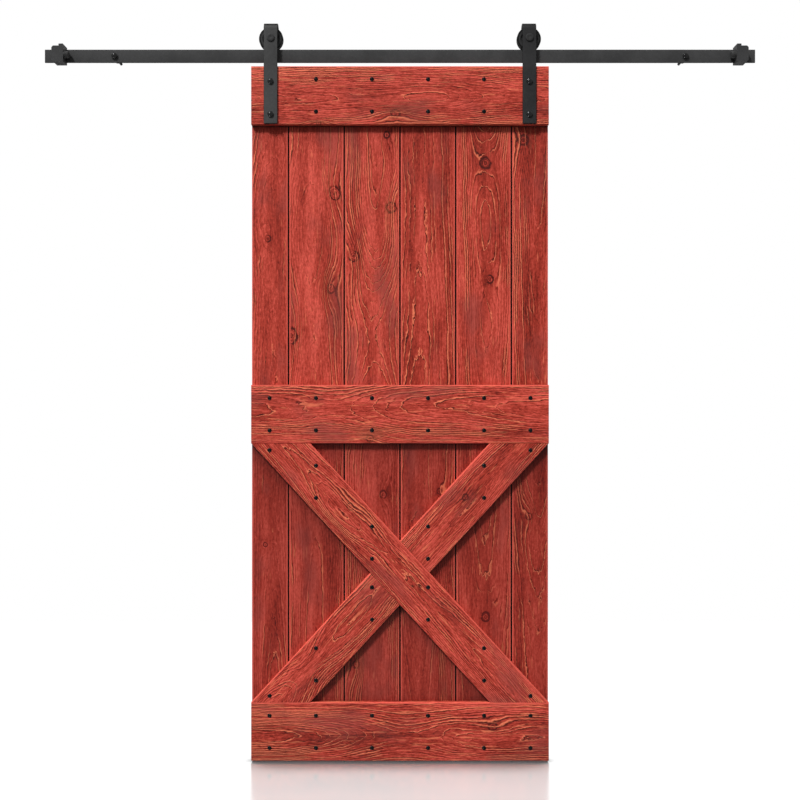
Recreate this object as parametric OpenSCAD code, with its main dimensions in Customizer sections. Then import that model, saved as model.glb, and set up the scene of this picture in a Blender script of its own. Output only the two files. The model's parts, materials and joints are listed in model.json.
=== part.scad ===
// Sliding barn door: a K-braced plank panel hung by two strap hangers from a flat-bar track.
// Frame: the origin lies on the wall plane, at the middle of the track's fixing line.
// +X runs right along the track, +Y into the wall, +Z up. The panel hangs in front, at -Y.

/* [Panel] */
// Width of the panel
door_w = 914; // [800:1:1220]
// Height of the panel
door_h = 2134; // [1900:1:2600]
// Gap between the track's lower edge and the panel's top
door_drop = 15; // [11:0.5:30]

/* [Planks] */
// Thickness of the planks
plank_t = 18; // [15:0.5:25]
// Width that each inner plank covers; the two outer planks take what is left
plank_w = 172; // [120:1:207]
// Gap between neighbouring planks
plank_gap = 4; // [0.5:0.1:6]
// Eased edge of a plank
plank_ease = 1.2; // [0.4:0.1:2.5]
// Thickness of the tongue along a plank's edge
tongue_t = 6; // [4:0.5:8]
// How far the tongue enters the next plank
tongue_bite = 6; // [3:0.5:10]
// Clearance of the tongue in its groove, on each side and at its tip
tongue_fit = 0.3; // [0.1:0.05:0.8]

/* [Rails and braces] */
// Height of each horizontal rail
rail_h = 180; // [140:1:220]
// Thickness of the rails and braces
rail_t = 17; // [13:0.5:22]
// Distance from the panel's top down to the middle rail's top edge
middle_rail_drop = 979; // [700:1:1200]
// Width of a brace, square to its run
brace_w = 134; // [100:1:165]
// Hairline gap where a short brace butts against the long one
butt_gap = 0.3; // [0.1:0.1:1.5]
// Eased edge of a rail or brace
rail_ease = 1.5; // [0.5:0.1:3]

/* [Screws] */
// Distance between the two screws of a column on one board
screw_pair = 99; // [60:1:120]
// Radius of a screw's head
screw_head_r = 6.4; // [4:0.1:8]
// Height of a screw's domed head
screw_head_h = 3; // [2:0.1:4]
// Radius of a screw's shank
screw_r = 2.2; // [1.5:0.1:3]
// How far a screw enters the plank behind its board
screw_bite = 13; // [6:0.5:14]
// Clearance of a screw or bolt in its hole
hole_fit = 0.1; // [0.05:0.05:0.5]

/* [Track] */
// Length of the track bar
track_l = 2190; // [1900:5:3000]
// Height of the track bar
track_h = 40; // [36:0.5:60]
// Thickness of the track bar
track_t = 6; // [5:0.5:8]
// Distance of the track bar from the wall
wall_gap = 32; // [28:0.5:50]
// Track's end to the outer wall bolt beside it
outer_bolt_inset = 215; // [100:5:400]
// Middle of the track to each inner wall bolt
inner_bolt_x = 400; // [200:5:560]
// Eased edge of steel bars and blocks
steel_ease = 0.6; // [0.2:0.1:1.2]

/* [Wall bolts] */
// Radius of a wall spacer
spacer_r = 11; // [9:0.5:12]
// Radius of a wall bolt's plain shank
lag_r = 5; // [4:0.5:6]
// Radius of a wall bolt's threaded end
lag_thread_r = 4.25; // [3.5:0.25:4.75]
// Length of a wall bolt beyond the wall plane
lag_bite = 45; // [30:1:80]
// Width across the flats of every hexagon head and nut
hex_af = 17; // [14:0.5:18]
// Height of a hexagon head
hex_h = 6.5; // [5:0.5:7.5]
// Thickness of a wall bolt's washer
washer_t = 2; // [1.5:0.1:2.5]
// Clearance of a wall bolt in its spacer, washer and track hole
lag_fit = 0.5; // [0.2:0.1:1]

/* [Hangers] */
// Panel's side edge to the middle of each hanger
hanger_inset = 60; // [45:1:100]
// Width of the hanger strap
strap_w = 42; // [36:1:50]
// Thickness of the hanger strap
strap_t = 5; // [4:0.5:8]
// Top rail's lower edge up to the foot of the strap
strap_foot = 2; // [0:0.5:15]
// How far the strap's back leg reaches below the axle
back_leg = 22; // [15:1:25]
// Rounded corners at the strap's two ends
strap_corner = 2; // [1:0.5:8]
// Panel's top down to the upper strap bolt
strap_bolt_1 = 48; // [30:1:60]
// Foot of the strap up to the lower strap bolt
strap_bolt_2 = 29; // [20:1:45]
// Radius of the strap bolts and of the axle bolt
bolt_r = 5; // [4:0.5:5.5]
// Outer radius of a sleeve nut's barrel
sleeve_r = 6.5; // [6:0.25:8]
// Length of a sleeve nut's barrel in the panel
sleeve_l = 20; // [16:0.5:28]
// Radius of a sleeve nut's flange
sleeve_flange_r = 11; // [9:0.5:13]
// Thickness of a sleeve nut's flange
sleeve_flange_t = 2.5; // [2:0.5:4]
// Radius of the axle bolt's round head
axle_head_r = 12; // [9:0.5:14]
// Height of the axle bolt's round head
axle_head_h = 3.5; // [2.5:0.5:5]
// Height of the axle nut
axle_nut_h = 8; // [6:0.5:9]

/* [Wheels] */
// Radius of the wheel where it runs on the track
tread_r = 31; // [28:0.5:40]
// How far the wheel's two flanges stand out past the tread
flange_h = 6; // [4:0.5:8]
// Width of the wheel
wheel_w = 18; // [16:0.5:22]
// Space between the wheel's side and the strap
wheel_side = 7; // [6:0.5:10]
// Space between the wheel's flange and the strap's bend
wheel_top = 3; // [1.5:0.5:5]
// Clearance of the track in the wheel's groove, on each side
groove_fit = 0.6; // [0.3:0.1:1.2]
// Running gap between the tread and the track's upper edge
tread_gap = 0.2; // [0.1:0.05:0.5]
// Radial thickness of the wheel's rim under the tread
rim_t = 5; // [3:0.5:7]
// Radial thickness of the wheel's hub round the bearing
hub_t = 4; // [3:0.5:6]
// Depth of the dish between the hub and the rim on each side
dish = 4; // [1:0.5:5]

/* [Bearings] */
// Outer radius of the ball bearing
bearing_r = 15; // [14.5:0.5:16]
// Width of the ball bearing
bearing_w = 9; // [8.5:0.5:11]
// Radius of the circle through the ball centres
ball_pitch_r = 10; // [9.8:0.1:10.4]
// Radius of a ball
ball_r = 2.38; // [2:0.02:2.5]
// Number of balls
ball_count = 8; // [6:1:9]
// Running clearance of a ball in its races and cage
ball_fit = 0.05; // [0.02:0.01:0.1]
// Radius of the spacers on the axle
axle_spacer_r = 8; // [7:0.25:8.25]

/* [End stops] */
// Track's end to the outer face of each stop
stop_inset = 28; // [5:1:60]
// Length of a stop along the track
stop_l = 36; // [30:1:60]
// Height of a stop above and below the track
stop_wall = 4.5; // [3:0.5:9]
// How far a stop stands in front of the track's middle
stop_front = 27; // [20:0.5:35]
// How far a stop stands behind the track's middle
stop_back = 12; // [9:0.5:24]
// Length of the raised lip along the track
lip_l = 14; // [8:0.5:24]
// Height of the raised lip
lip_h = 6; // [3:0.5:8]
// Cut corners at a stop's outer end
stop_corner = 5; // [1:0.5:10]
// Clearance of the track in a stop's slot
slot_fit = 0.2; // [0.1:0.05:0.5]
// Radius of the rubber bumper
bumper_r = 11; // [8:0.5:11.5]
// Length of the rubber bumper
bumper_l = 15; // [8:0.5:25]
// Radius of a stop's set screws
set_screw_r = 4; // [3:0.5:5]

/* [Hidden] */

$fn = 96;
over = 1;                // how far a cutter runs past the face that it cuts
LEFT = -1;
RIGHT = 1;

// Depths along Y, from the wall outwards
track_back = -wall_gap;
track_front = track_back - track_t;
track_mid = track_back - track_t / 2;
bend_r = wheel_w / 2 + wheel_side;          // inside radius of the strap's bend
face_y = track_mid - bend_r;                // front face of the rails and braces
strap_front = face_y - strap_t;
seam_y = face_y + rail_t;                   // where the rails lie on the planks
back_y = seam_y + plank_t;                  // back face of the planks
leg_back = track_mid + bend_r + strap_t;    // back face of the strap's back leg

// Heights along Z
axle_z = track_h / 2 + tread_gap + tread_r;
flange_r = tread_r + flange_h;
bend_z = axle_z + flange_r - sqrt(pow(bend_r - wheel_top, 2) - pow(wheel_w / 2, 2));
top_z = -track_h / 2 - door_drop;
bottom_z = top_z - door_h;
middle_top_z = top_z - middle_rail_drop;
field_top_z = middle_top_z - rail_h;        // the braces fill the field between these two
field_bottom_z = bottom_z + rail_h;
field_h = field_top_z - field_bottom_z;

// Planks, from the left
plank_count = 6;
half_w = door_w / 2;
outer_plank_w = half_w - 2 * plank_w;
seams = [-half_w, -2 * plank_w, -plank_w, 0, plank_w, 2 * plank_w, half_w];
function plank_mid(i) = (seams[i] + seams[i + 1]) / 2;
tongue_mid_y = seam_y + plank_t / 2;

// Braces. A brace of width b crosses the field corner to corner, and each mitred end has the
// length c, where c * sin(angle) = b and tan(angle) = field_h / (door_w - c).
brace_end = (sqrt(pow(brace_w, 4) * pow(door_w, 2)
        + (pow(field_h, 2) - pow(brace_w, 2)) * pow(brace_w, 2) * (pow(door_w, 2) + pow(field_h, 2)))
    - pow(brace_w, 2) * door_w) / (pow(field_h, 2) - pow(brace_w, 2));
brace_run = door_w - brace_end;
brace_angle = atan(field_h / brace_run);
butt = butt_gap * [sin(brace_angle), cos(brace_angle)];
field_mid_z = (field_top_z + field_bottom_z) / 2;
meet_z = field_top_z - field_h * (door_w - 2 * brace_end) / (2 * brace_run);
tip_h = outer_plank_w / 2 * field_h / brace_run;   // height of a brace's tip at the outer screws

// Hangers and their bolts
hanger_x = half_w - hanger_inset;
foot_z = top_z - rail_h + strap_foot;
strap_bolt_zs = [top_z - strap_bolt_1, foot_z + strap_bolt_2];
sleeve_floor = 3;                           // the closed end of a sleeve nut's barrel
bolt_short = 1;                             // from a strap bolt's end to that floor
turned_edge = 1;                            // cut edges of the turned parts

// Track, wall bolts and stops
outer_bolt_x = track_l / 2 - outer_bolt_inset;
lag_xs = [-outer_bolt_x, -inner_bolt_x, inner_bolt_x, outer_bolt_x];
lag_point = 7;                              // length of a wall bolt's point
stop_in_x = track_l / 2 - stop_inset - stop_l;
bumper_y = face_y;                          // the bumper meets the edge of the strap's front leg
bumper_stem_r = 3;
bumper_stem_l = 8;
bumper_round = 3;                           // rounded rim of the bumper's face

// Bearings
ring_gap = 1.6;                             // half the space between the two rings' shoulders
cage_gap = 0.5;                             // cage to either ring's shoulder
cage_rim = 0.7;                             // cage left beside each ball
shield_t = 0.7;
shield_inset = 0.4;
shield_gap = 0.3;

// ---- shapes that repeat ----

// A cylinder along Y, from y0 to y1
module rod(r, y0, y1) {
    translate([0, y1, 0]) rotate([90, 0, 0]) cylinder(r = r, h = y1 - y0);
}

// A ring along Y, from y0 to y1
module tube(r, bore, y0, y1) {
    difference() {
        rod(r, y0, y1);
        rod(bore, y0 - over, y1 + over);
    }
}

// A solid turned about the Y axis from an outline of radius and distance along +Y
module turned() {
    rotate([-90, 0, 0]) rotate_extrude() children();
}

// A six-sided head or nut along Y, with its corners turned off at y0
module hexagon(af, y0, y1) {
    corner_r = af / 2 / cos(30);
    turn_off = (corner_r - af / 2) * 0.6;
    intersection() {
        translate([0, y1, 0]) rotate([90, 0, 0]) cylinder(r = corner_r, h = y1 - y0, $fn = 6);
        turned() polygon([
            [0, y0], [af / 2, y0], [corner_r, y0 + turn_off], [corner_r, y1], [0, y1]
        ]);
    }
}

// A cutter for a six-sided socket that opens towards +Y at y0
module hex_socket(r, y0, deep) {
    translate([0, y0 + over, 0]) rotate([90, 0, 0]) cylinder(r = r, h = deep + over, $fn = 6);
}

// A rectangle with its four corners cut at 45 degrees
module eased(w, h, e) {
    polygon([
        [e, 0], [w - e, 0], [w, e], [w, h - e], [w - e, h], [e, h], [0, h - e], [0, e]
    ]);
}

// A board of the rails' thickness lying along X, its front edges eased
module board(l, h) {
    rotate([90, 0, 90]) linear_extrude(l) polygon([
        [face_y, rail_ease], [face_y + rail_ease, 0], [seam_y, 0],
        [seam_y, h], [face_y + rail_ease, h], [face_y, h - rail_ease]
    ]);
}

// An outline in X and Z, given the thickness of the rails
module face_prism(y0, y1) {
    translate([0, y1, 0]) rotate([90, 0, 0]) linear_extrude(y1 - y0) children();
}

module at(points) {
    for (p = points) translate([p[0], 0, p[1]]) children();
}

module each_hanger() {
    for (side = [LEFT, RIGHT]) translate([side * hanger_x, 0, 0]) children();
}

// ---- where the screws stand, as [x, z] ----

function pair(x, z) = [[x, z - screw_pair / 2], [x, z + screw_pair / 2]];
function rail_screws(z0, first, last) =
    [for (i = [first:last]) each pair(plank_mid(i), z0 + rail_h / 2)];
// Middle of the long brace, or of the two short ones, at x
function brace_z(x, side) = field_mid_z + side * x * field_h / brace_run;

top_screws = rail_screws(top_z - rail_h, 1, plank_count - 2);
middle_screws = rail_screws(field_top_z, 0, plank_count - 1);
bottom_screws = rail_screws(bottom_z, 0, plank_count - 1);
long_screws = [
    [plank_mid(0), field_top_z - tip_h / 3],
    for (i = [1:plank_count - 2]) each pair(plank_mid(i), brace_z(plank_mid(i), LEFT)),
    [plank_mid(plank_count - 1), field_bottom_z + tip_h / 3]
];
upper_screws = [
    for (i = [3:4]) each pair(plank_mid(i), brace_z(plank_mid(i), RIGHT)),
    [plank_mid(5), field_top_z - tip_h / 3]
];
lower_screws = [
    [plank_mid(0), field_bottom_z + tip_h / 3],
    for (i = [1:2]) each pair(plank_mid(i), brace_z(plank_mid(i), RIGHT))
];
panel_screws = concat(
    top_screws, middle_screws, bottom_screws, long_screws, upper_screws, lower_screws
);

module screw_holes(points) {
    at(points) rod(screw_r + hole_fit, face_y - over, seam_y + screw_bite + hole_fit);
}

module strap_bolt_holes(r, y0, y1) {
    each_hanger() at([for (z = strap_bolt_zs) [0, z]]) rod(r, y0, y1);
}

// ---- track ----

module track_bar() {
    color("#4a4a4a") difference() {
        translate([-track_l / 2, track_front, -track_h / 2])
            rotate([90, 0, 90]) linear_extrude(track_l) eased(track_t, track_h, steel_ease);
        at([for (x = lag_xs) [x, 0]]) rod(lag_r + lag_fit, track_front - over, track_back + over);
    }
}

module wall_spacer(i) {
    color("#505050") translate([lag_xs[i - 1], 0, 0])
        tube(spacer_r, lag_r + lag_fit, track_back, 0);
}

module lag_bolt(i) {
    head_back = track_front - washer_t;
    color("#303030") translate([lag_xs[i - 1], 0, 0]) {
        hexagon(hex_af, head_back - hex_h, head_back);
        rod(lag_r, head_back, 0);
        rod(lag_thread_r, 0, lag_bite - lag_point);
        turned() polygon([
            [0, lag_bite - lag_point], [lag_thread_r, lag_bite - lag_point], [0, lag_bite]
        ]);
    }
}

module lag_washers() {
    color("#383838") at([for (x = lag_xs) [x, 0]])
        tube(spacer_r, lag_r + lag_fit, track_front - washer_t, track_front);
}

// A block with a slot for the track, a lip on its inner end and cut corners at its outer end
module stop(side) {
    half_h = track_h / 2 + stop_wall;
    lip_z = half_h + lip_h;
    color("#454545") mirror([side == LEFT ? 1 : 0, 0, 0]) translate([stop_in_x, 0, 0]) difference() {
        face_prism(track_mid - stop_front, track_mid + stop_back) polygon([
            [steel_ease, -half_h], [stop_l - stop_corner, -half_h],
            [stop_l, -half_h + stop_corner], [stop_l, half_h - stop_corner],
            [stop_l - stop_corner, half_h], [lip_l, half_h],
            [lip_l, lip_z - turned_edge], [lip_l - turned_edge, lip_z],
            [turned_edge, lip_z], [0, lip_z - turned_edge], [0, -half_h + steel_ease]
        ]);
        translate([-over, track_front - slot_fit, -track_h / 2 - slot_fit])
            cube([stop_l + 2 * over, track_t + 2 * slot_fit, track_h + 2 * slot_fit]);
        stop_screw_places() rod(set_screw_r + hole_fit, track_mid, track_mid + stop_back + over);
        translate([-over, bumper_y, 0]) rotate([0, 90, 0])
            cylinder(r = bumper_stem_r + hole_fit, h = bumper_stem_l + over);
    }
}

// The two set screws stand side by side behind the track
module stop_screw_places() {
    for (quarter = [1, 3]) translate([quarter * stop_l / 4, 0, 0]) children();
}

module stop_screws(side) {
    socket_r = set_screw_r / 2;
    screw_end = track_mid + stop_back - steel_ease;
    color("#303030") mirror([side == LEFT ? 1 : 0, 0, 0]) translate([stop_in_x, 0, 0])
        stop_screw_places() difference() {
            rod(set_screw_r, track_back, screw_end);
            hex_socket(socket_r, screw_end, set_screw_r);
        }
}

module stop_bumper(side) {
    color("#1c1c1c") mirror([side == LEFT ? 1 : 0, 0, 0]) translate([stop_in_x, bumper_y, 0])
        rotate([0, -90, 0]) rotate_extrude() union() {
            translate([0, -bumper_stem_l]) square([bumper_stem_r, bumper_stem_l + over]);
            square([bumper_r, bumper_l - bumper_round]);
            square([bumper_r - bumper_round, bumper_l]);
            translate([bumper_r - bumper_round, bumper_l - bumper_round]) intersection() {
                circle(r = bumper_round);
                square(bumper_round);
            }
        }
}

// ---- panel ----

// One plank: a groove on its left edge and a tongue on its right, but none at the panel's sides
module plank(i) {
    left = seams[i - 1] + (i == 1 ? 0 : plank_gap / 2);
    right = seams[i] - (i == plank_count ? 0 : plank_gap / 2);
    tongue_l = plank_gap + tongue_bite;
    groove_l = tongue_bite + tongue_fit;
    color("#96302a") difference() {
        translate([0, 0, bottom_z]) linear_extrude(door_h) difference() {
            union() {
                translate([left, seam_y]) eased(right - left, plank_t, plank_ease);
                if (i < plank_count) translate([right - over, tongue_mid_y - tongue_t / 2])
                    square([tongue_l + over, tongue_t]);
            }
            if (i > 1) translate([left - over, tongue_mid_y - tongue_t / 2 - tongue_fit])
                square([groove_l + over, tongue_t + 2 * tongue_fit]);
        }
        screw_holes([for (p = panel_screws) if (p[0] > seams[i - 1] && p[0] < seams[i]) p]);
        strap_bolt_holes(sleeve_r + hole_fit, seam_y - over, back_y + over);
    }
}

module rail(z0, screws) {
    color("#c04a3a") difference() {
        translate([-half_w, 0, z0]) board(door_w, rail_h);
        screw_holes(screws);
        strap_bolt_holes(sleeve_r + hole_fit, back_y - sleeve_l - over, back_y);
        strap_bolt_holes(bolt_r + hole_fit, face_y - over, seam_y + over);
    }
}

module top_rail() { rail(top_z - rail_h, top_screws); }
module middle_rail() { rail(field_top_z, middle_screws); }
module bottom_rail() { rail(bottom_z, bottom_screws); }

// A board laid corner to corner over the field, rising to the left or to the right
module brace_board(side) {
    spare = brace_w * 2;
    l = sqrt(pow(field_h, 2) + pow(door_w, 2)) + spare;
    translate([0, 0, field_mid_z]) rotate([0, -side * brace_angle, 0])
        translate([-l / 2, 0, -brace_w / 2]) board(l, brace_w);
}

module brace(side, outline, screws) {
    color("#bc4536") difference() {
        intersection() {
            brace_board(side);
            face_prism(face_y - over, seam_y + over) polygon(outline);
        }
        screw_holes(screws);
    }
}

module brace_long() {
    brace(LEFT, [
        [-half_w, field_top_z], [half_w, field_top_z], [half_w, field_bottom_z], [-half_w, field_bottom_z]
    ], long_screws);
}

// The outlines of the short braces run past their long edges, which the board itself gives
module brace_upper() {
    brace(RIGHT, [
        [0, meet_z] + butt, [0, field_top_z], [half_w, field_top_z],
        [half_w, field_mid_z], [brace_end / 2, field_mid_z] + butt
    ], upper_screws);
}

module brace_lower() {
    brace(RIGHT, [
        [0, 2 * field_mid_z - meet_z] - butt, [0, field_bottom_z], [-half_w, field_bottom_z],
        [-half_w, field_mid_z], [-brace_end / 2, field_mid_z] - butt
    ], lower_screws);
}

// Wood screws with domed heads
module screws(points) {
    dome_r = (pow(screw_head_r, 2) + pow(screw_head_h, 2)) / (2 * screw_head_h);
    point_l = 2 * screw_r;
    tip_y = seam_y + screw_bite;
    color("#202020") at(points) {
        intersection() {
            translate([0, face_y - screw_head_h + dome_r, 0]) sphere(r = dome_r);
            rod(screw_head_r, face_y - screw_head_h, face_y);
        }
        turned() polygon([
            [0, face_y - over], [screw_r, face_y - over],
            [screw_r, tip_y - point_l], [0, tip_y]
        ]);
    }
}

// ---- hangers ----

// A flat strap that runs up the panel's face, over the wheel and down behind it
module strap(side) {
    leg_z = axle_z - back_leg;
    color("#464646") translate([side * hanger_x, 0, 0]) difference() {
        intersection() {
            translate([-strap_w / 2, 0, 0]) rotate([90, 0, 90]) linear_extrude(strap_w)
                difference() {
                    strap_side(bend_r + strap_t, foot_z);
                    strap_side(bend_r, foot_z - over);
                }
            union() {
                strap_end(foot_z, strap_front - over, face_y + over);
                strap_end(leg_z, track_mid, leg_back + over);
                translate([-strap_w, strap_front - over, axle_z])
                    cube([2 * strap_w, leg_back - strap_front + 2 * over, bend_z + flange_r]);
            }
        }
        translate([0, 0, axle_z]) rod(bolt_r + hole_fit, strap_front - over, leg_back + over);
        at([for (z = strap_bolt_zs) [0, z]]) rod(bolt_r + hole_fit, strap_front - over, face_y + over);
    }
}

// An arch of radius r on two straight sides that run down to z0, seen from the side
module strap_side(r, z0) {
    translate([track_mid, bend_z]) circle(r = r);
    translate([track_mid - r, z0]) square([2 * r, bend_z - z0]);
}

// The rounded end that a leg of the strap is trimmed to
module strap_end(z0, y0, y1) {
    face_prism(y0, y1) {
        translate([-strap_w / 2 + strap_corner, z0])
            square([strap_w - 2 * strap_corner, axle_z - z0]);
        translate([-strap_w / 2, z0 + strap_corner])
            square([strap_w, axle_z - z0 - strap_corner]);
        for (side = [LEFT, RIGHT])
            translate([side * (strap_w / 2 - strap_corner), z0 + strap_corner])
                circle(r = strap_corner);
    }
}

module strap_bolts(side) {
    bolt_end = back_y - sleeve_floor - bolt_short;
    color("#262626") at([for (z = strap_bolt_zs) [side * hanger_x, z]]) {
        hexagon(hex_af, strap_front - hex_h, strap_front);
        rod(bolt_r, strap_front, bolt_end);
    }
}

// Sleeve nuts let in from behind, closed at the back, with a hexagon socket in the flange
module strap_nuts(side) {
    socket_r = 3.5;
    color("#303030") at([for (z = strap_bolt_zs) [side * hanger_x, z]]) difference() {
        union() {
            rod(sleeve_r, back_y - sleeve_l, back_y);
            rod(sleeve_flange_r, back_y, back_y + sleeve_flange_t);
        }
        rod(bolt_r + hole_fit, back_y - sleeve_l - over, back_y - sleeve_floor);
        hex_socket(socket_r, back_y + sleeve_flange_t, sleeve_flange_t);
    }
}

module at_axle(side) {
    translate([side * hanger_x, 0, axle_z]) children();
}

module axle_bolt(side) {
    axle_end = leg_back + axle_nut_h + turned_edge;
    color("#262626") at_axle(side) {
        turned() polygon([
            [0, strap_front - axle_head_h], [axle_head_r - turned_edge, strap_front - axle_head_h],
            [axle_head_r, strap_front - axle_head_h + turned_edge], [axle_head_r, strap_front],
            [bolt_r, strap_front], [bolt_r, axle_end - turned_edge],
            [bolt_r - turned_edge, axle_end], [0, axle_end]
        ]);
    }
}

module axle_nut(side) {
    color("#262626") at_axle(side) difference() {
        mirror([0, 1, 0]) hexagon(hex_af, -leg_back - axle_nut_h, -leg_back);
        rod(bolt_r + hole_fit, leg_back - over, leg_back + axle_nut_h + over);
    }
}

module axle_spacers(side) {
    color("#8a8c8e") at_axle(side) {
        tube(axle_spacer_r, bolt_r + hole_fit, face_y, track_mid - bearing_w / 2);
        tube(axle_spacer_r, bolt_r + hole_fit, track_mid + bearing_w / 2, leg_back - strap_t);
    }
}

// ---- wheels and bearings ----

// A grooved wheel, dished on both sides between its hub and its rim
module wheel(side) {
    side_y = wheel_w / 2;
    half_groove = track_t / 2 + groove_fit;
    edge = turned_edge;
    hub_r = bearing_r + hub_t;
    rim_r = tread_r - rim_t;
    draft = 1;                      // slope of the dish's walls
    color("#2e2e2e") at_axle(side) translate([0, track_mid, 0]) turned() difference() {
        polygon([
            [bearing_r, -side_y], [flange_r - edge, -side_y], [flange_r, -side_y + edge],
            [flange_r, -half_groove - edge], [flange_r - edge, -half_groove],
            [tread_r, -half_groove], [tread_r, half_groove], [flange_r - edge, half_groove],
            [flange_r, half_groove + edge], [flange_r, side_y - edge],
            [flange_r - edge, side_y], [bearing_r, side_y]
        ]);
        for (s = [LEFT, RIGHT]) polygon([
            [hub_r, s * (side_y + over)], [hub_r, s * side_y],
            [hub_r + draft, s * (side_y - dish)], [rim_r - draft, s * (side_y - dish)],
            [rim_r, s * side_y], [rim_r, s * (side_y + over)]
        ]);
    }
}

// The space that the balls run in
module race(extra) {
    translate([ball_pitch_r, 0]) circle(r = ball_r + extra);
}

module bearing_inner(side) {
    color("#b4b6b8") at_axle(side) translate([0, track_mid, 0]) turned() difference() {
        translate([bolt_r + hole_fit, -bearing_w / 2])
            square([ball_pitch_r - ring_gap - bolt_r - hole_fit, bearing_w]);
        race(ball_fit);
    }
}

module bearing_outer(side) {
    color("#b4b6b8") at_axle(side) translate([0, track_mid, 0]) turned() difference() {
        translate([ball_pitch_r + ring_gap, -bearing_w / 2])
            square([bearing_r - ball_pitch_r - ring_gap, bearing_w]);
        race(ball_fit);
    }
}

module bearing_shields(side) {
    inner_r = ball_pitch_r - ring_gap + shield_gap;
    outer_r = ball_pitch_r + ring_gap;
    edge_y = bearing_w / 2 - shield_inset;
    color("#3c3c3c") at_axle(side) translate([0, track_mid, 0]) {
        tube(outer_r, inner_r, -edge_y, -edge_y + shield_t);
        tube(outer_r, inner_r, edge_y - shield_t, edge_y);
    }
}

module ball_places() {
    for (i = [0:ball_count - 1]) rotate([0, i * 360 / ball_count, 0])
        translate([ball_pitch_r, 0, 0]) children();
}

module bearing_balls(side) {
    color("#d8dadc") at_axle(side) translate([0, track_mid, 0]) ball_places() sphere(r = ball_r);
}

// A ring with a round pocket bored outwards through it for each ball
module bearing_cage(side) {
    half_l = ball_r + cage_rim;
    half_t = ring_gap - cage_gap;
    color("#c8b890") at_axle(side) translate([0, track_mid, 0]) difference() {
        tube(ball_pitch_r + half_t, ball_pitch_r - half_t, -half_l, half_l);
        ball_places() rotate([0, 90, 0])
            cylinder(r = ball_r + ball_fit, h = 4 * half_t, center = true);
    }
}

track_bar();
wall_spacer(1);  // wall_spacer_1
wall_spacer(2);  // wall_spacer_2
wall_spacer(3);  // wall_spacer_3
wall_spacer(4);  // wall_spacer_4
lag_bolt(1);  // lag_bolt_1
lag_bolt(2);  // lag_bolt_2
lag_bolt(3);  // lag_bolt_3
lag_bolt(4);  // lag_bolt_4
lag_washers();
stop(LEFT);  // stop_left
stop(RIGHT);  // stop_right
stop_bumper(LEFT);  // stop_bumper_left
stop_bumper(RIGHT);  // stop_bumper_right
stop_screws(LEFT);  // stop_screws_left
stop_screws(RIGHT);  // stop_screws_right
plank(1);  // plank_1
plank(2);  // plank_2
plank(3);  // plank_3
plank(4);  // plank_4
plank(5);  // plank_5
plank(6);  // plank_6
top_rail();
middle_rail();
bottom_rail();
brace_long();
brace_upper();
brace_lower();
screws(top_screws);  // top_rail_screws
screws(middle_screws);  // middle_rail_screws
screws(bottom_screws);  // bottom_rail_screws
screws(long_screws);  // long_brace_screws
screws(upper_screws);  // upper_brace_screws
screws(lower_screws);  // lower_brace_screws
strap(LEFT);  // strap_left
strap(RIGHT);  // strap_right
strap_bolts(LEFT);  // strap_bolts_left
strap_bolts(RIGHT);  // strap_bolts_right
strap_nuts(LEFT);  // strap_nuts_left
strap_nuts(RIGHT);  // strap_nuts_right
axle_bolt(LEFT);  // axle_bolt_left
axle_bolt(RIGHT);  // axle_bolt_right
axle_nut(LEFT);  // axle_nut_left
axle_nut(RIGHT);  // axle_nut_right
axle_spacers(LEFT);  // axle_spacers_left
axle_spacers(RIGHT);  // axle_spacers_right
bearing_inner(LEFT);  // bearing_inner_left
bearing_inner(RIGHT);  // bearing_inner_right
wheel(LEFT);  // wheel_left
wheel(RIGHT);  // wheel_right
bearing_outer(LEFT);  // bearing_outer_left
bearing_outer(RIGHT);  // bearing_outer_right
bearing_shields(LEFT);  // bearing_shields_left
bearing_shields(RIGHT);  // bearing_shields_right
bearing_balls(LEFT);  // bearing_balls_left
bearing_balls(RIGHT);  // bearing_balls_right
bearing_cage(LEFT);  // bearing_cage_left
bearing_cage(RIGHT);  // bearing_cage_right
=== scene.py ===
import json
import math

import bmesh
import bpy
import numpy as np
from mathutils import Matrix, Vector


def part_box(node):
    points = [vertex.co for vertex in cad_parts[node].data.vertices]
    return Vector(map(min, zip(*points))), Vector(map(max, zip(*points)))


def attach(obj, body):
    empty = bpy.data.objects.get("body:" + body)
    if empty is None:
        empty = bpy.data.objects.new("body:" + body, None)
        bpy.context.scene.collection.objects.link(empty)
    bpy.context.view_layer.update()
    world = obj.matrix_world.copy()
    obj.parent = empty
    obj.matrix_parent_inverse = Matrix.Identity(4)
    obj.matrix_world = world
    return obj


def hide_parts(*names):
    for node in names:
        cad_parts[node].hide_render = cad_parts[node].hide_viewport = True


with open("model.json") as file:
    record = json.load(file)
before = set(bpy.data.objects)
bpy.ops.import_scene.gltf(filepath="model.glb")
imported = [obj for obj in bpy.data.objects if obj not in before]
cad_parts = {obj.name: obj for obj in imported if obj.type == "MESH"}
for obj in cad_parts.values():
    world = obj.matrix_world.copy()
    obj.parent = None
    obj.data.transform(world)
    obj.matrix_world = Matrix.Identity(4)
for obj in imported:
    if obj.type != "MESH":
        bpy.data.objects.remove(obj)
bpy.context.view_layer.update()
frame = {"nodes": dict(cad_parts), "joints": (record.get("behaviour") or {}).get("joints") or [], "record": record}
nodes = frame["nodes"]
record = frame["record"]
mm = 0.001
cm = 0.01
print("frame loaded:", len(nodes), "nodes")


# where things are, read from the frame

bodyOf = {node: body for body, group in record["behaviour"]["bodies"].items() for node in group}
slotOf = {part["node"]: part["material_slot"] for part in record["subparts"]}
joints = {joint["name"]: joint for joint in frame["joints"]}
planks = sorted(name for name in nodes if name.startswith("plank_"))
sides = ("left", "right")


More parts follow.
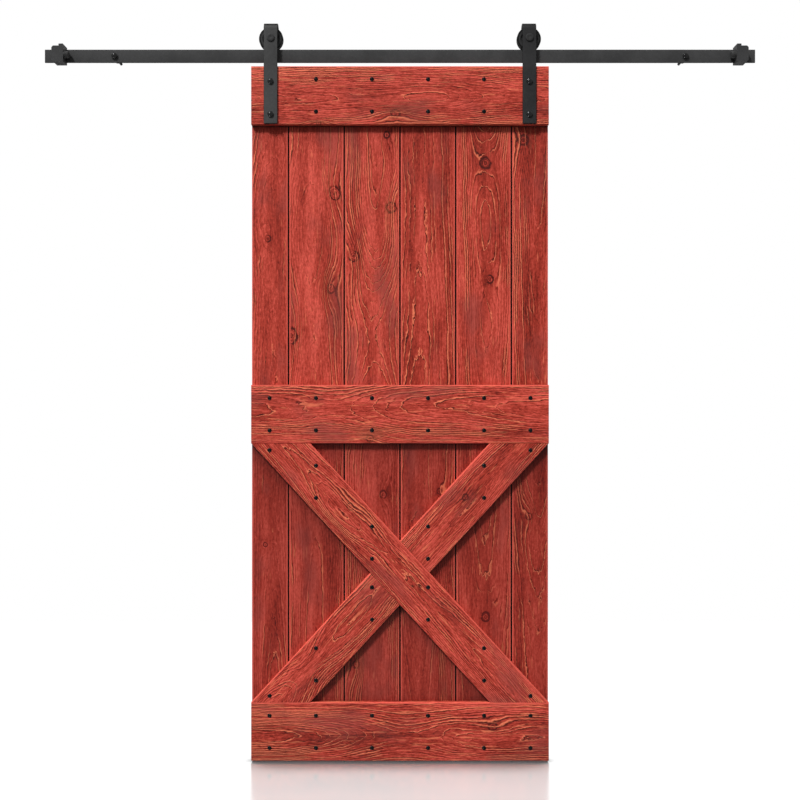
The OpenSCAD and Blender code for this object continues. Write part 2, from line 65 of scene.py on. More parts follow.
def islands(node):
    # boxes of the separate solids in a node, left to right and then bottom to top
    work = bmesh.new()
    work.from_mesh(nodes[node].data)
    bmesh.ops.remove_doubles(work, verts=work.verts, dist=1e-6)
    left = set(work.verts)
    boxes = []
    while left:
        stack = [left.pop()]
        group = []
        while stack:
            vert = stack.pop()
            group.append(vert.co.copy())
            for edge in vert.link_edges:
                other = edge.other_vert(vert)
                if other in left:
                    left.remove(other)
                    stack.append(other)
        low = Vector([min(co[i] for co in group) for i in range(3)])
        high = Vector([max(co[i] for co in group) for i in range(3)])
        boxes.append((low, high))
    work.free()
    return sorted(boxes, key=lambda box: (round(box[0].x, 4), round(box[0].z, 4)))


def centred(box):
    # the middle of a box, taken to the wall plane
    low, high = box
    return (low.x + high.x) / 2, 0, (low.z + high.z) / 2


panelLow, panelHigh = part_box(planks[0])[0].copy(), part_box(planks[-1])[1].copy()
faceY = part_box("top_rail")[0].y            # front of the rails and braces
seamY, backY = panelLow.y, panelHigh.y     # front and back of the planks
panelW = panelHigh.x - panelLow.x
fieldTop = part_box("middle_rail")[0].z      # the braces fill the field between these heights
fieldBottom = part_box("bottom_rail")[1].z


def braceLines():
    # the long brace's slope and width, from its mitred end along the rail
    tops = [v.co.x for v in nodes["brace_long"].data.vertices if v.co.z > fieldTop - 0.01 * mm]
    end = max(tops) - min(tops)
    slope = math.atan2(fieldTop - fieldBottom, panelW - end)
    return slope, end * math.sin(slope)


braceSlope, braceWidth = braceLines()
braceMiddle = Vector(((panelLow.x + panelHigh.x) / 2, 0, (fieldTop + fieldBottom) / 2))
falling = Vector((math.cos(braceSlope), 0, -math.sin(braceSlope)))
rising = Vector((math.cos(braceSlope), 0, math.sin(braceSlope)))


def across(along):
    return Vector((-along.z, 0, along.x))


# painted shade where boards meet the planks: a point on the edge, the way out of the corner, how far
# the painted shade reaches in centimetres, and how dark it is and how dark the corner itself is
down, up = Vector((0, 0, -1)), Vector((0, 0, 1))
creases = [
    (Vector((0, 0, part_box("top_rail")[0].z)), down, 2.8, 0.42, 0.62),
    (Vector((0, 0, fieldTop)), down, 3.2, 0.44, 0.45),
    (Vector((0, 0, fieldTop)), down, 140, 0.16, 0.0),
    (Vector((0, 0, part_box("middle_rail")[1].z)), up, 1.4, 0.16, 0.12),
    (Vector((0, 0, fieldBottom)), up, 4.0, 0.34, 0.12),
    (braceMiddle - across(falling) * braceWidth / 2, -across(falling), 4.0, 0.44, 0.35),
    (braceMiddle - across(rising) * braceWidth / 2, -across(rising), 4.0, 0.44, 0.35),
]


# camera

view = {
    "distance": 3.1,       # metres in front of the panel's face
    "seen": 2.456,         # width seen at the panel's face
    "sensor": 36.0,
    "belowTop": 1.0254,    # height of the eye under the panel's top
}


def makeCamera():
    data = bpy.data.cameras.new("camera")
    data.sensor_width = view["sensor"]
    data.lens = view["sensor"] * view["distance"] / view["seen"]
    data.clip_end = 100
    camera = bpy.data.objects.new("camera", data)
    bpy.context.scene.collection.objects.link(camera)
    camera.location = (0, faceY - view["distance"], panelHigh.z - view["belowTop"])
    camera.rotation_euler = (math.radians(90), 0, 0)
    bpy.context.scene.camera = camera


makeCamera()


# shader building

class Wire:
    # a shader socket that takes part in arithmetic: each operator adds a Math node
    def __init__(self, paint, socket):
        self.paint = paint
        self.socket = socket

    def maths(self, operation, *values):
        node = self.paint.node("ShaderNodeMath", {"operation": operation}, dict(enumerate(values)))
        return Wire(self.paint, node.outputs[0])

    def __add__(self, other):
        return self.maths("ADD", self, other)

    def __sub__(self, other):
        return self.maths("SUBTRACT", self, other)

    def __rsub__(self, other):
        return self.maths("SUBTRACT", other, self)

    def __mul__(self, other):
        return self.maths("MULTIPLY", self, other)

    def __truediv__(self, other):
        return self.maths("DIVIDE", self, other)

    def __rtruediv__(self, other):
        return self.maths("DIVIDE", other, self)

    __radd__ = __add__
    __rmul__ = __mul__

    def root(self):
        return self.maths("SQRT", self)

    def exp(self):
        return self.maths("EXPONENT", self)

    def fraction(self):
        return self.maths("FRACT", self)

    def whole(self):
        return self.maths("FLOOR", self)

    def size(self):
        return self.maths("ABSOLUTE", self)

    def most(self, other):
        return self.maths("MAXIMUM", self, other)

    def least(self, other):
        return self.maths("MINIMUM", self, other)

    def step(self, start, end, low=0.0, high=1.0):
        # a smooth step from low at start to high at end
        node = self.paint.node(
            "ShaderNodeMapRange", {"interpolation_type": "SMOOTHSTEP"},
            {0: self, 1: start, 2: end, 3: low, 4: high})
        return Wire(self.paint, node.outputs[0])


class Paint:
    # the nodes of a material or of the world, and the ways to add to them
    def __init__(self, owner, **fixed):
        owner.use_nodes = True
        self.owner = owner
        self.tree = owner.node_tree
        self.surface = self.tree.nodes.get("Principled BSDF")
        for socket, value in fixed.items():
            self.surface.inputs[socket.replace("_", " ")].default_value = value

    def node(self, kind, settings=None, inputs=None):
        node = self.tree.nodes.new(kind)
        for name, value in (settings or {}).items():
            if name == "stops":
                self.setStops(node.color_ramp, value)
            else:
                setattr(node, name, value)
        for key, value in (inputs or {}).items():
            if isinstance(value, Wire):
                self.tree.links.new(value.socket, node.inputs[key])
            else:
                node.inputs[key].default_value = value
        return node

    def setStops(self, ramp, stops):
        while len(ramp.elements) < len(stops):
            ramp.elements.new(0.5)
        for element, (place, colour) in zip(ramp.elements, stops):
            element.position = place
            element.color = (*colour, 1.0)

    def wire(self, kind, output, settings=None, inputs=None):
        return Wire(self, self.node(kind, settings, inputs).outputs[output])

    def along(self, place, direction, origin):
        # distance along a direction from an origin, in centimetres
        offset = -Vector(direction).dot(Vector(origin)) / cm
        dot = self.wire("ShaderNodeVectorMath", 1, {"operation": "DOT_PRODUCT"},
                        {0: place, 1: tuple(Vector(direction) / cm)})
        return dot + offset

    def vector(self, x, y, z):
        return self.wire("ShaderNodeCombineXYZ", 0, {}, {0: x, 1: y, 2: z})

    def noise(self, vector, scale=1.0, detail=2.0, roughness=0.5, output=0):
        return self.wire("ShaderNodeTexNoise", output, {},
                         {"Vector": vector, "Scale": scale, "Detail": detail, "Roughness": roughness})

    def mix(self, factor, first, second):
        def colour(value):
            return value if isinstance(value, Wire) else (*value, 1.0)
        return self.wire("ShaderNodeMix", 2, {"data_type": "RGBA"},
                         {0: factor, 6: colour(first), 7: colour(second)})

    def split(self, colour):
        node = self.node("ShaderNodeSeparateColor", {}, {0: colour})
        return [Wire(self, socket) for socket in node.outputs]

    def place(self):
        return self.wire("ShaderNodeTexCoord", "Object")

    def feed(self, **sockets):
        for name, wire in sockets.items():
            self.tree.links.new(wire.socket, self.surface.inputs[name.replace("_", " ")])
        return self.owner

    def bump(self, height, distance):
        return self.wire("ShaderNodeBump", 0, {}, {"Height": height, "Distance": distance})


# red stained pine

stain = {
    "deep": (0.075, 0.0045, 0.0028),
    "dark": (0.245, 0.018, 0.0085),
    "body": (0.49, 0.048, 0.028),
    "light": (0.88, 0.127, 0.088),
    "ridge": (1.0, 0.245, 0.120),
    "lowerShade": (0.15, 0.0, 0.0),         # what the painted shade below the middle rail leans to
    "smudge": (0.27, 0.052, 0.042),     # dull patches where the stain went on thick
    # near black: the colour of the painted shade in the gaps and along the boards
    "gap": (0.004, 0.001, 0.001),
}
grain = {
    "relief": 0.5 * mm,
    "sway": 4.5,                # how far the log's heart wanders sideways, in centimetres
    "ripple": (1.3, 0.9),       # how far the rings waver across the board and into it
    "crinkle": 0.75,            # how uneven they are, in rings
    "smudged": (0.52, 0.72),    # noise levels between which a dull patch fades in
    "gapShade": (0.02, 0.11),   # depths at which the painted shade in a gap between planks starts
    "gapEnd": (1.3, 1.7),       # and at which it ends, at the back
}
knot = {
    "lumps": 1.1,               # how far from round
    "push": 2.0,                # rings that it pushes aside
    "ringCount": 1.9,           # its own rings from its heart to its rim
    "rimWidth": 0.16,           # as a share of its radius
    "rim": 1.5,                 # how dark its rim, rings, heart and surroundings are
    "rings": 0.50,
    "heart": 0.6,
    "halo": 0.26,
}
# each texture of the wood: how often it repeats in a centimetre across the board, into it and along
# it, which of these the board's seed shifts, its detail and its roughness
textures = {
    "wander": ((0.05, 0.05, 0.014), (1, 0, 0), 1.0, 0.5),
    "waver": ((0.22, 0.22, 0.075), (0, 1, 0), 4.0, 0.55),
    "crinkle": ((1.1, 1.0, 0.40), (0, 1, 0), 2.0, 0.5),
    "lumps": ((0.55, 0.4, 0.5), (0, 1, 0), 3.0, 0.6),
    "fibre": ((2.9, 2.9, 0.19), (0, 0, 1), 3.0, 0.6),
    "hair": ((4.35, 3.0, 0.55), (0, 0, 0), 3.0, 0.65),
    "streak": ((0.26, 0.3, 0.035), (0, 1, -1), 4.0, 0.6),
    "mottle": ((1.5, 1.5, 0.8), (0, 0, 1), 4.0, 0.7),
    "flare": ((1.9, 1.9, 0.13), (0, 1, 0), 3.0, 0.5),
    "smudge": ((0.11, 0.1, 0.05), (0, 1, 0), 3.0, 0.5),
}
# planks are calmer than rails and braces: centimetres from one growth ring to the next, half the
# width of a ring's raised line, where those lines start to show, the depth of each texture, how much
# painted shade darkens them below the middle rail, and how much lighter the lower and the upper long
# edge are, from wear and partly a painted highlight, with the distances at which this starts and is full
figure = {
    "plank": {"ring": 0.56, "line": 0.110, "shown": (0.50, 0.80), "lines": 0.85, "fibre": 0.62,
              "hair": 0.65, "mottle": 1.00, "cloud": 1.40, "flare": (0.65, 0.75), "lowerShade": 0.27,
              "wearAndLight": (0.85, 0.85), "wearAndLightReach": (0.65, 0.22)},
    "board": {"ring": 0.42, "line": 0.105, "shown": (0.45, 0.70), "lines": 1.30, "fibre": 1.45,
              "hair": 1.2, "mottle": 0.9, "cloud": 1.30, "flare": (0.60, 0.69), "lowerShade": 0.05,
              "wearAndLight": (0.1, 1.1), "wearAndLightReach": (0.50, 0.18)},
}


def bell(x, width):
    y = x / width
    return (y * y * -1.0).exp()


def texture(paint, name, seed, spot, output=0):
    # spot is a point of the board: across it, into it and along it
    scales, shifts, detail, roughness = textures[name]
    spot = [part * scale + seed * shift for part, scale, shift in zip(spot, scales, shifts)]
    return paint.noise(paint.vector(*spot), detail=detail, roughness=roughness, output=output)


def fromMiddle(paint, place):
    # how far a point lies to either side of the middle, in centimetres
    return paint.along(place, (1, 0, 0), (0, 0, 0)).size()


def paintedBoardShade(paint, place):
    # painted shade on the planks along the edges of the rails and braces laid over them, and broadly below the
    # middle rail
    shades = []
    for point, away, reach, soft, tight in creases:
        d = paint.along(place, away, point)
        shade = (d * (-1 / reach)).least(0.0).exp() * soft
        if tight:
            shade = shade + bell(d, 0.3) * tight
        shades.append(d.step(-0.1, 0.05) * shade)
    return sum(shades).least(0.93)


def paintedGapShade(paint, place, u, depth, half):
    # painted shade: a gap between two planks is painted dark from just under their faces to near the back
    sunk = depth.step(*grain["gapShade"]) * (1 - depth.step(*grain["gapEnd"]))
    beside = u.size().step(half - 0.25, half - 0.05)
    panelEdge = panelW / 2 / cm
    return sunk * beside * fromMiddle(paint, place).step(panelEdge - 0.2, panelEdge - 0.35)


def cutFromLog(paint, board, spot):
    # the board is cut from a log whose heart runs behind or before it and wanders along its length
    u, depth, w = spot
    seed, ring = board["seed"], board["figure"]["ring"]
    swayU, swayH, reveal = paint.split(texture(paint, "wander", seed, spot, output=1))
    waverU, waverH, blotch = paint.split(texture(paint, "waver", seed, spot, output=1))
    rippleU, rippleH = grain["ripple"]
    bentU = u + (swayU - 0.5) * grain["sway"] + (waverU - 0.5) * rippleU
    swellAt, swellReach, swell = board["swell"]
    heart = board["heart"] + w * board["lean"] + depth + (swayH - 0.5) * board["arch"] \
        + bell(w - swellAt, swellReach) * swell + (waverH - 0.5) * rippleH
    fromHeart = bentU - board["off"]
    radius = (fromHeart * fromHeart + heart * heart).root()
    steep = (fromHeart.size() / radius).most(0.16) / ring
    rings = radius / ring + (texture(paint, "crinkle", seed, spot) - 0.5) * grain["crinkle"]
    return bentU, rings, steep, reveal, blotch


def addKnots(paint, board, spot, rings, blotch):
    # knots push the rings aside and carry rings of their own
    u, _, w = spot
    lumpy = texture(paint, "lumps", board["seed"], spot)
    line = dark = 0.0
    for knotU, knotW, size in board["knots"]:
        du = (u - knotU) / size
        dw = (w - knotW) / size
        near = (du * du + dw * dw * 0.75).root() + (lumpy - 0.5) * knot["lumps"]
        far = du * du + dw * dw * 0.12 + (lumpy - 0.5) * 0.8
        rings = rings + (far * -0.20).exp() * (knot["push"] + size)
        mask = near.step(1.15, 0.85)
        own = (near * (knot["ringCount"] + size * 0.6)).fraction()
        rim = bell(near - 1.0, knot["rimWidth"]) * (blotch + lumpy * 0.5).step(0.56, 0.72)
        line = (mask * own.step(0.10, 0.32) * own.step(0.70, 0.40)).most(line)
        shade = rim * knot["rim"] + mask * own.step(0.60, 0.90) * knot["rings"] \
            + bell(near, 0.30) * knot["heart"] + (far * -0.30).exp() * knot["halo"]
        dark = shade.most(dark)
    return rings, line, dark


def stainedPine(name, board):
    paint = Paint(bpy.data.materials.new(name), Specular_IOR_Level=0.2, IOR=1.45)
    seed, look = board["seed"], board["figure"]
    place = paint.place()
    u = paint.along(place, board["across"], board["centre"])
    w = paint.along(place, board["along"], board["centre"])
    depth = paint.along(place, (0, 1, 0), board["centre"])
    spot = u, depth, w
    bentU, rings, steep, reveal, blotch = cutFromLog(paint, board, spot)
    bentSpot = bentU, depth, w
    rings, knotLine, knotDark = addKnots(paint, board, spot, rings, blotch)

    # each ring shows as a raised line with a groove beside it; in the colour the line is lighter and the groove
    # darker, partly the wood's own figure and partly a painted highlight and shadow of the relief
    off = (rings.fraction() - 0.5) / steep
    each = paint.wire("ShaderNodeTexWhiteNoise", 0, {"noise_dimensions": "1D"},
                      {"W": rings.whole() + seed * 7.3})
    ridge = bell(off, look["line"])
    groove = bell(off + look["line"] * 2.0, look["line"] * 0.95)
    shown = (reveal + (each - 0.5) * 0.7 + (blotch - 0.5) * 2.2).step(*look["shown"])
    faint = each.step(0.0, 1.0, 0.35, 0.9) * look["lines"]

    # fine fibre streaks run with the board and bend with the rings
    fibre, hair, streak = (texture(paint, name, seed, bentSpot) for name in ("fibre", "hair", "streak"))
    mottle = texture(paint, "mottle", seed, spot)
    pore = hair.step(0.37, 0.27)

    # how light the stain is, and the colours that this brings
    tone = board["tone"] + 0.53 + (fibre - 0.5) * look["fibre"] + (hair - 0.5) * look["hair"] \
        + (mottle - 0.5) * look["mottle"] + (streak - 0.5) * look["cloud"] \
        + ridge * faint * 0.32 - groove * faint * 0.40 - groove * shown * 0.45 - pore * 0.22 \
        - knotDark * 0.62 + knotLine * 0.20
    colour = paint.wire("ShaderNodeValToRGB", 0, {"stops": [
        (0.0, stain["deep"]), (0.22, stain["dark"]), (0.52, stain["body"]), (0.95, stain["light"])]},
        {0: tone})
    # glow and flare mix in bright orange streaks on the raised lines: partly the latewood's own colour, partly a
    # painted highlight
    glow = ridge * shown * each.step(0.1, 0.9, 0.55, 1.0)
    flare = texture(paint, "flare", seed, bentSpot).step(*look["flare"]) * (hair * 1.4).least(1.0) * 0.85
    colour = paint.mix(glow.most(flare).least(0.92), colour, stain["ridge"])

    smudge = texture(paint, "smudge", seed, spot).step(*grain["smudged"]) * (mottle * 0.8 + 0.1)
    colour = paint.mix(smudge, colour, stain["smudge"])
    front = depth.step(0.9, 0.4)
    # painted shade: the planks below the middle rail are darker and redder
    lowerShade = paint.along(place, down, (0, 0, fieldTop)).step(-0.1, 0.1) * front * look["lowerShade"]
    colour = paint.mix(lowerShade, colour, stain["lowerShade"])

    # edges are lighter, from wear and partly a painted highlight, and painted shade darkens the gaps between
    # planks and the planks along the boards' edges
    # the upper edges of the rails and braces are much lighter than their lower ones: wear, and a painted highlight
    # from the light above
    lowWearAndLight, highWearAndLight = look["wearAndLight"]
    highEdge = (board["half"] - u).step(*look["wearAndLightReach"]) * highWearAndLight
    lowEdge = (board["half"] + u).step(*look["wearAndLightReach"]) * lowWearAndLight
    wornAndLit = (highEdge + lowEdge) * (fibre * 1.2 + 0.3) * depth.step(0.5, 0.1)
    colour = paint.mix(wornAndLit.least(0.85), colour, stain["light"])
    if board["pools"]:
        shade = paintedGapShade(paint, place, u, depth, board["half"]).most(paintedBoardShade(paint, place) * front)
        colour = paint.mix(shade.least(0.98), colour, stain["gap"])

    relief = ridge * (shown * 0.8 + faint * 0.3) - groove * (shown * 0.5 + faint * 0.3) \
        + (fibre - 0.5) * 1.2 + (hair - 0.5) * 0.5 + knotLine * 0.3 - knotDark * 0.5
    rough = 0.66 - glow * 0.12 - (fibre - 0.5) * 0.3
    return paint.feed(Base_Color=colour, Roughness=rough, Normal=paint.bump(relief, grain["relief"]))


# metal, rubber and plastic

finishes = {
    "powder_coat": {"dark": (0.030, 0.030, 0.0305), "light": (0.074, 0.074, 0.075),
                    "rough": (0.50, 0.68), "grainSize": 0.9, "relief": 0.10, "shine": 0.11},
    "strap_coat": {"dark": (0.036, 0.036, 0.0360), "light": (0.088, 0.088, 0.088),
                   "rough": (0.48, 0.66), "grainSize": 0.9, "relief": 0.10, "shine": 0.10},
    # the right strap's coat: a darker copy of the strap coat, painted shade
    "strap_coat_thick": {"dark": (0.016, 0.016, 0.0165), "light": (0.046, 0.046, 0.047),
                         "rough": (0.50, 0.68), "grainSize": 0.9, "relief": 0.10, "shine": 0.09},
    "wheel_coat": {"dark": (0.022, 0.022, 0.022), "light": (0.060, 0.060, 0.061),
                   "rough": (0.42, 0.58), "grainSize": 0.8, "relief": 0.08, "shine": 0.10},
    "bolt_black": {"dark": (0.002, 0.002, 0.0022), "light": (0.007, 0.007, 0.0075),
                   "rough": (0.17, 0.23), "grainSize": 0.7, "relief": 0.02, "shine": 0.20},
    "black_fixing": {"dark": (0.0015, 0.0018, 0.002), "light": (0.006, 0.0065, 0.007),
                     "rough": (0.20, 0.34), "grainSize": 0.6, "relief": 0.03, "shine": 0.09},
}
# painted shade on the metal: darker wheel rims and strap bends, feet and sides
paintedMetalShade = {
    "wheelRim": 30.5 * mm,     # the flange's face has painted shade from this radius outwards
    "bend": 12 * mm,           # so are the strap's bend, this far down from its top,
    "foot": 1.6 * mm,          # its foot,
    "side": 0.7 * mm,          # and its sides
    "soft": 1.5 * mm,
    "colour": (0.003, 0.003, 0.003),
}
powder = {
    "cloud": 14.0,             # clouds, dust and rubbed streaks to each metre
    "dust": 120.0,
    "rub": (20, 60, 160),
    "rubbed": 2.2,             # how much lighter the rubbed spots are
}


def paintedRimShade(paint, place):
    # painted shade on the wheel's rim: both wheels alike, each round its own axle
    axle = Vector(joints["wheel_right_spin"]["pos_m"])
    dx = fromMiddle(paint, place) - axle.x / cm
    dz = paint.along(place, (0, 0, 1), axle)
    radius = (dx * dx + dz * dz).root()
    start = paintedMetalShade["wheelRim"] / cm
    return radius.step(start, start + paintedMetalShade["soft"] / cm)


def paintedStrapShade(paint, place):
    # painted shade on both straps alike: the top of the bend, the foot and the sides
    low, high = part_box("strap_right")
    soft = paintedMetalShade["soft"] / cm
    fromTop = paint.along(place, (0, 0, -1), high)
    fromFoot = paint.along(place, (0, 0, 1), low)
    fromCentre = (fromMiddle(paint, place) - (low.x + high.x) / 2 / cm).size()
    fromSide = (high.x - low.x) / 2 / cm - fromCentre
    bend = fromTop.step(paintedMetalShade["bend"] / cm, (paintedMetalShade["bend"] - 3 * mm) / cm)
    foot = fromFoot.step(paintedMetalShade["foot"] / cm + soft / 2, paintedMetalShade["foot"] / cm - soft / 2)
    side = fromSide.step(paintedMetalShade["side"] / cm, paintedMetalShade["side"] / cm / 2)
    return (bend * 0.92).most(foot * 0.9).most(side)


paintedShadeParts = {"wheel_coat": paintedRimShade, "strap_coat": paintedStrapShade, "strap_coat_thick": paintedStrapShade}


def coated(name):
    # cured powder coat: fine pebbling, cloudy sheen and rubbed high spots
    finish = finishes[name]
    paint = Paint(bpy.data.materials.new(name), Specular_IOR_Level=finish["shine"], IOR=1.5)
    place = paint.place()
    pebble = paint.noise(place, scale=1 / (finish["grainSize"] * mm), detail=2.0)
    cloud = paint.noise(place, scale=powder["cloud"], detail=3.0)
    dust = paint.noise(place, scale=powder["dust"], detail=4.0, roughness=0.7)
    streaks = paint.wire("ShaderNodeMapping", 0, {}, {0: place, "Scale": powder["rub"]})
    rub = paint.noise(streaks, detail=5.0, roughness=0.65).step(0.62, 0.80)
    tone = pebble.step(0.3, 0.7) * 0.45 + cloud.step(0.3, 0.7) * 0.35 + dust.step(0.4, 0.75) * 0.20
    colour = paint.mix(tone, finish["dark"], finish["light"])
    colour = paint.mix(rub * 0.18, colour, tuple(powder["rubbed"] * c for c in finish["light"]))
    # painted shade on the wheels' rims and on the straps
    if name in paintedShadeParts:
        colour = paint.mix(paintedShadeParts[name](paint, place), colour, paintedMetalShade["colour"])
    low, high = finish["rough"]
    rough = cloud.step(0.25, 0.75, low, high) - rub * 0.06
    return paint.feed(Base_Color=colour, Roughness=rough,
                      Normal=paint.bump(pebble + dust * 0.4, finish["relief"] * mm))


# each bright steel: its tint, its roughness, and how fine the turning marks are
steels = {
    "zinc_steel": ((0.55, 0.56, 0.57), 0.34, 900),
    "bearing_steel": ((0.66, 0.66, 0.67), 0.16, 400),
}


def brightSteel(name):
    # ground or plated steel with fine turning marks
    tint, rough, brush = steels[name]
    paint = Paint(bpy.data.materials.new(name), Metallic=1.0)
    place = paint.place()
    turning = paint.wire("ShaderNodeMapping", 0, {}, {0: place, "Scale": (60, brush, 60)})
    marks = paint.noise(turning, detail=4.0, roughness=0.7)
    haze = paint.noise(place, scale=35.0, detail=3.0)
    colour = paint.mix(haze.step(0.3, 0.75), tuple(0.72 * c for c in tint), tint)
    return paint.feed(Base_Color=colour, Roughness=marks.step(0.3, 0.7, rough * 0.7, rough * 1.3),
                      Normal=paint.bump(marks, 0.02 * mm))


# each moulding: its darkest and lightest colour, its roughness, and the size of its pores in mm
mouldings = {
    "bumper_rubber": ((0.010, 0.010, 0.010), (0.022, 0.022, 0.022), 0.72, 0.7),
    "shield_black": ((0.016, 0.016, 0.017), (0.034, 0.034, 0.035), 0.5, 0.4),
    "cage_nylon": ((0.50, 0.43, 0.29), (0.62, 0.54, 0.38), 0.45, 0.5),
}


def mouldedSurface(name):
    # moulded rubber or nylon with a fine matte texture
    dark, light, rough, grainSize = mouldings[name]
    paint = Paint(bpy.data.materials.new(name), Specular_IOR_Level=0.4)
    place = paint.place()
    pore = paint.noise(place, scale=1 / (grainSize * mm), detail=3.0)
    bloom = paint.noise(place, scale=45.0, detail=2.0)
    colour = paint.mix(bloom.step(0.3, 0.75), dark, light)
    return paint.feed(Base_Color=colour, Roughness=bloom.step(0.2, 0.8, rough - 0.08, rough + 0.08),
                      Normal=paint.bump(pore, 0.06 * mm))


materials = {}
for finishOf, names in ((coated, finishes), (brightSteel, steels), (mouldedSurface, mouldings)):
    materials.update({name: finishOf(name) for name in names})
print("finishes made:", len(materials))


# meshes

roundCount = 60                # points round a bolt, a nut or a washer
roundSteps = 4                 # steps round each corner of an outline
sharpOver = math.radians(32)   # edges that turn by more than this stay sharp


def newPiece(name, verts, faces, material, edgeRound=None):
    mesh = bpy.data.meshes.new(name)
    mesh.from_pydata([tuple(v) for v in verts], [], faces)
    work = bmesh.new()
    work.from_mesh(mesh)
    bmesh.ops.recalc_face_normals(work, faces=work.faces)
    work.to_mesh(mesh)
    work.free()
    mesh.shade_smooth()
    mesh.set_sharp_from_angle(angle=sharpOver)
    mesh.materials.append(material)
    piece = bpy.data.objects.new(name, mesh)
    bpy.context.scene.collection.objects.link(piece)
    if edgeRound:
        softenEdges(piece, edgeRound)
    return piece


def softenEdges(piece, width, angle=50):
    bevel = piece.modifiers.new("softened", "BEVEL")
    bevel.width = width
    bevel.segments = 2
    bevel.limit_method = "ANGLE"
    bevel.angle_limit = math.radians(angle)
    bevel.harden_normals = True


def standFor(piece, *replaced):
    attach(piece, bodyOf[replaced[0]])
    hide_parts(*replaced)


def joined(name, shapes, material):
    # one piece from several (verts, faces) shapes
    verts, faces = [], []
    for shapeVerts, shapeFaces in shapes:
        start = len(verts)
        verts += [tuple(v) for v in shapeVerts]
        faces += [tuple(start + i for i in face) for face in shapeFaces]
    return newPiece(name, verts, faces, material)


def angleRow(count):
    return np.arange(count) * 2 * math.pi / count


def turned(rings, count=roundCount):
    # a closed solid round the Y axis; each ring is (radius, y), either of them a number or an
    # array over the angle, and a ring of no radius closes an end
    angles = angleRow(count)
    verts, faces, rows = [], [], []
    for radius, y in rings:
        radius = np.broadcast_to(radius, count)
        y = np.broadcast_to(y, count)
        start = len(verts)
        if radius.max() < 1e-9:
            verts.append((0.0, float(y.mean()), 0.0))
            rows.append([start] * count)
        else:
            verts += [(r * math.sin(a), v, r * math.cos(a)) for r, v, a in zip(radius, y, angles)]
            rows.append(list(range(start, start + count)))
    for first, second in zip(rows, rows[1:]):
        for i in range(count):
            j = (i + 1) % count
            face = [first[i], first[j], second[j], second[i]]
            face = [v for k, v in enumerate(face) if v not in face[:k]]
            if len(face) > 2:
                faces.append(face)
    return np.array(verts), faces


def turnedRing(outline):
    # a solid with a hole through it: the outline's last point joins its first
    verts, faces = turned(outline + outline[:1])
    keep = len(verts) - roundCount     # the last row repeats the first, so the two become one
    faces = [[v if v < keep else v - keep for v in face] for face in faces]
    return verts[:keep], faces


def moved(shape, place):
    verts, faces = shape
    return verts + np.array(place), faces


def hexRadius(flats):
    # distance from the middle of a hexagon to its edge, for each angle
    sixth = math.pi / 3
    turn = np.mod(angleRow(roundCount) + sixth / 2, sixth) - sixth / 2
    return flats / 2 / np.cos(turn)


def roundedLoop(corners):
    # an outline from (x, y, radius) corners, each rounded by its radius
    loop = []
    count = len(corners)
    for i, (x, y, radius) in enumerate(corners):
        corner = Vector((x, y))
        if radius <= 0:
            loop.append(corner)
            continue
        before = (Vector(corners[i - 1][:2]) - corner).normalized()
        after = (Vector(corners[(i + 1) % count][:2]) - corner).normalized()
        half = before.angle(after) / 2
        reach = radius / math.tan(half)
        middle = corner + (before + after).normalized() * radius / math.sin(half)
        start = corner + before * reach - middle
        end = corner + after * reach - middle
        for k in range(roundSteps + 1):
            blend = start.lerp(end, k / roundSteps)
            loop.append(middle + blend.normalized() * radius)
    return loop


def barLoop(left, near, right, far, ease, farEase=None):
    # the outline of a bar, its far corners rounded like the near ones or by a radius of their own
    farEase = farEase or ease
    return roundedLoop([(left, near, ease), (right, near, ease), (right, far, farEase),
                        (left, far, farEase)])


def capped(rows):
    # faces over rows of vertices that close on themselves, with flat ends
    count = len(rows[0])
    verts = [v for row in rows for v in row]
    faces = []
    for r in range(len(rows) - 1):
        for i in range(count):
            j = (i + 1) % count
            faces.append((r * count + i, r * count + j, (r + 1) * count + j, (r + 1) * count + i))
    faces.append(tuple(range(count)))
    faces.append(tuple(range((len(rows) - 1) * count, len(rows) * count)))
    return verts, faces


# boards

boardShape = {
    "plankRound": 1.4 * mm,    # eased long edges of the planks
    "railRounds": (2.6 * mm, 0.3 * mm),    # and of the rails and braces, in front and at the back
    "endRound": 0.9 * mm,
    "slice": 24 * mm,          # from one cross-section to the next
    "unevenness": 0.22 * mm,   # how far a worked edge wanders in
    "buttGap": 0.3 * mm,       # between the long brace and the two that meet it
}
plankJoint = {
    "gap": 4 * mm,
    "tongue": 6 * mm,
    "bite": 6 * mm,
    "fit": 0.3 * mm,
    "round": 0.6 * mm,         # the tongue's edges
}


def wavy(count, rng, step=6):
    # slow random drift from 0 to 1 along a board
    knots = rng.random(count // step + 3)
    places = np.arange(count) / step
    low = np.floor(places).astype(int)
    share = places - low
    share = share * share * (3 - 2 * share)
    return knots[low] * (1 - share) + knots[low + 1] * share


def sawnBoard(loop, length, seed, toWorld):
    # a board with the given outline (across, depth), worked edges that wander a little
    rng = np.random.default_rng(seed)
    count = max(4, int(length / boardShape["slice"]))
    loop = np.array([tuple(p) for p in loop])
    middle = (loop.min(0) + loop.max(0)) / 2
    drift = [wavy(count + 1, rng) for _ in range(4)]
    rows = []
    for k in range(count + 1):
        wander = boardShape["unevenness"]
        row = loop.copy()
        left = row[:, 0] < middle[0]
        front = row[:, 1] < middle[1]
        row[:, 0] += np.where(left, drift[0][k], -drift[1][k]) * wander
        row[:, 1] += np.where(front, drift[2][k] * wander, 0.0)
        rows.append([toWorld(x, y, length * k / count) for x, y in row])
    return capped(rows)


def plankFace(name):
    # the left and right edges of a plank's face, without its tongue
    low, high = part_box(name)
    tongue = 0 if name == planks[-1] else plankJoint["gap"] + plankJoint["bite"]
    return low.x, high.x - tongue


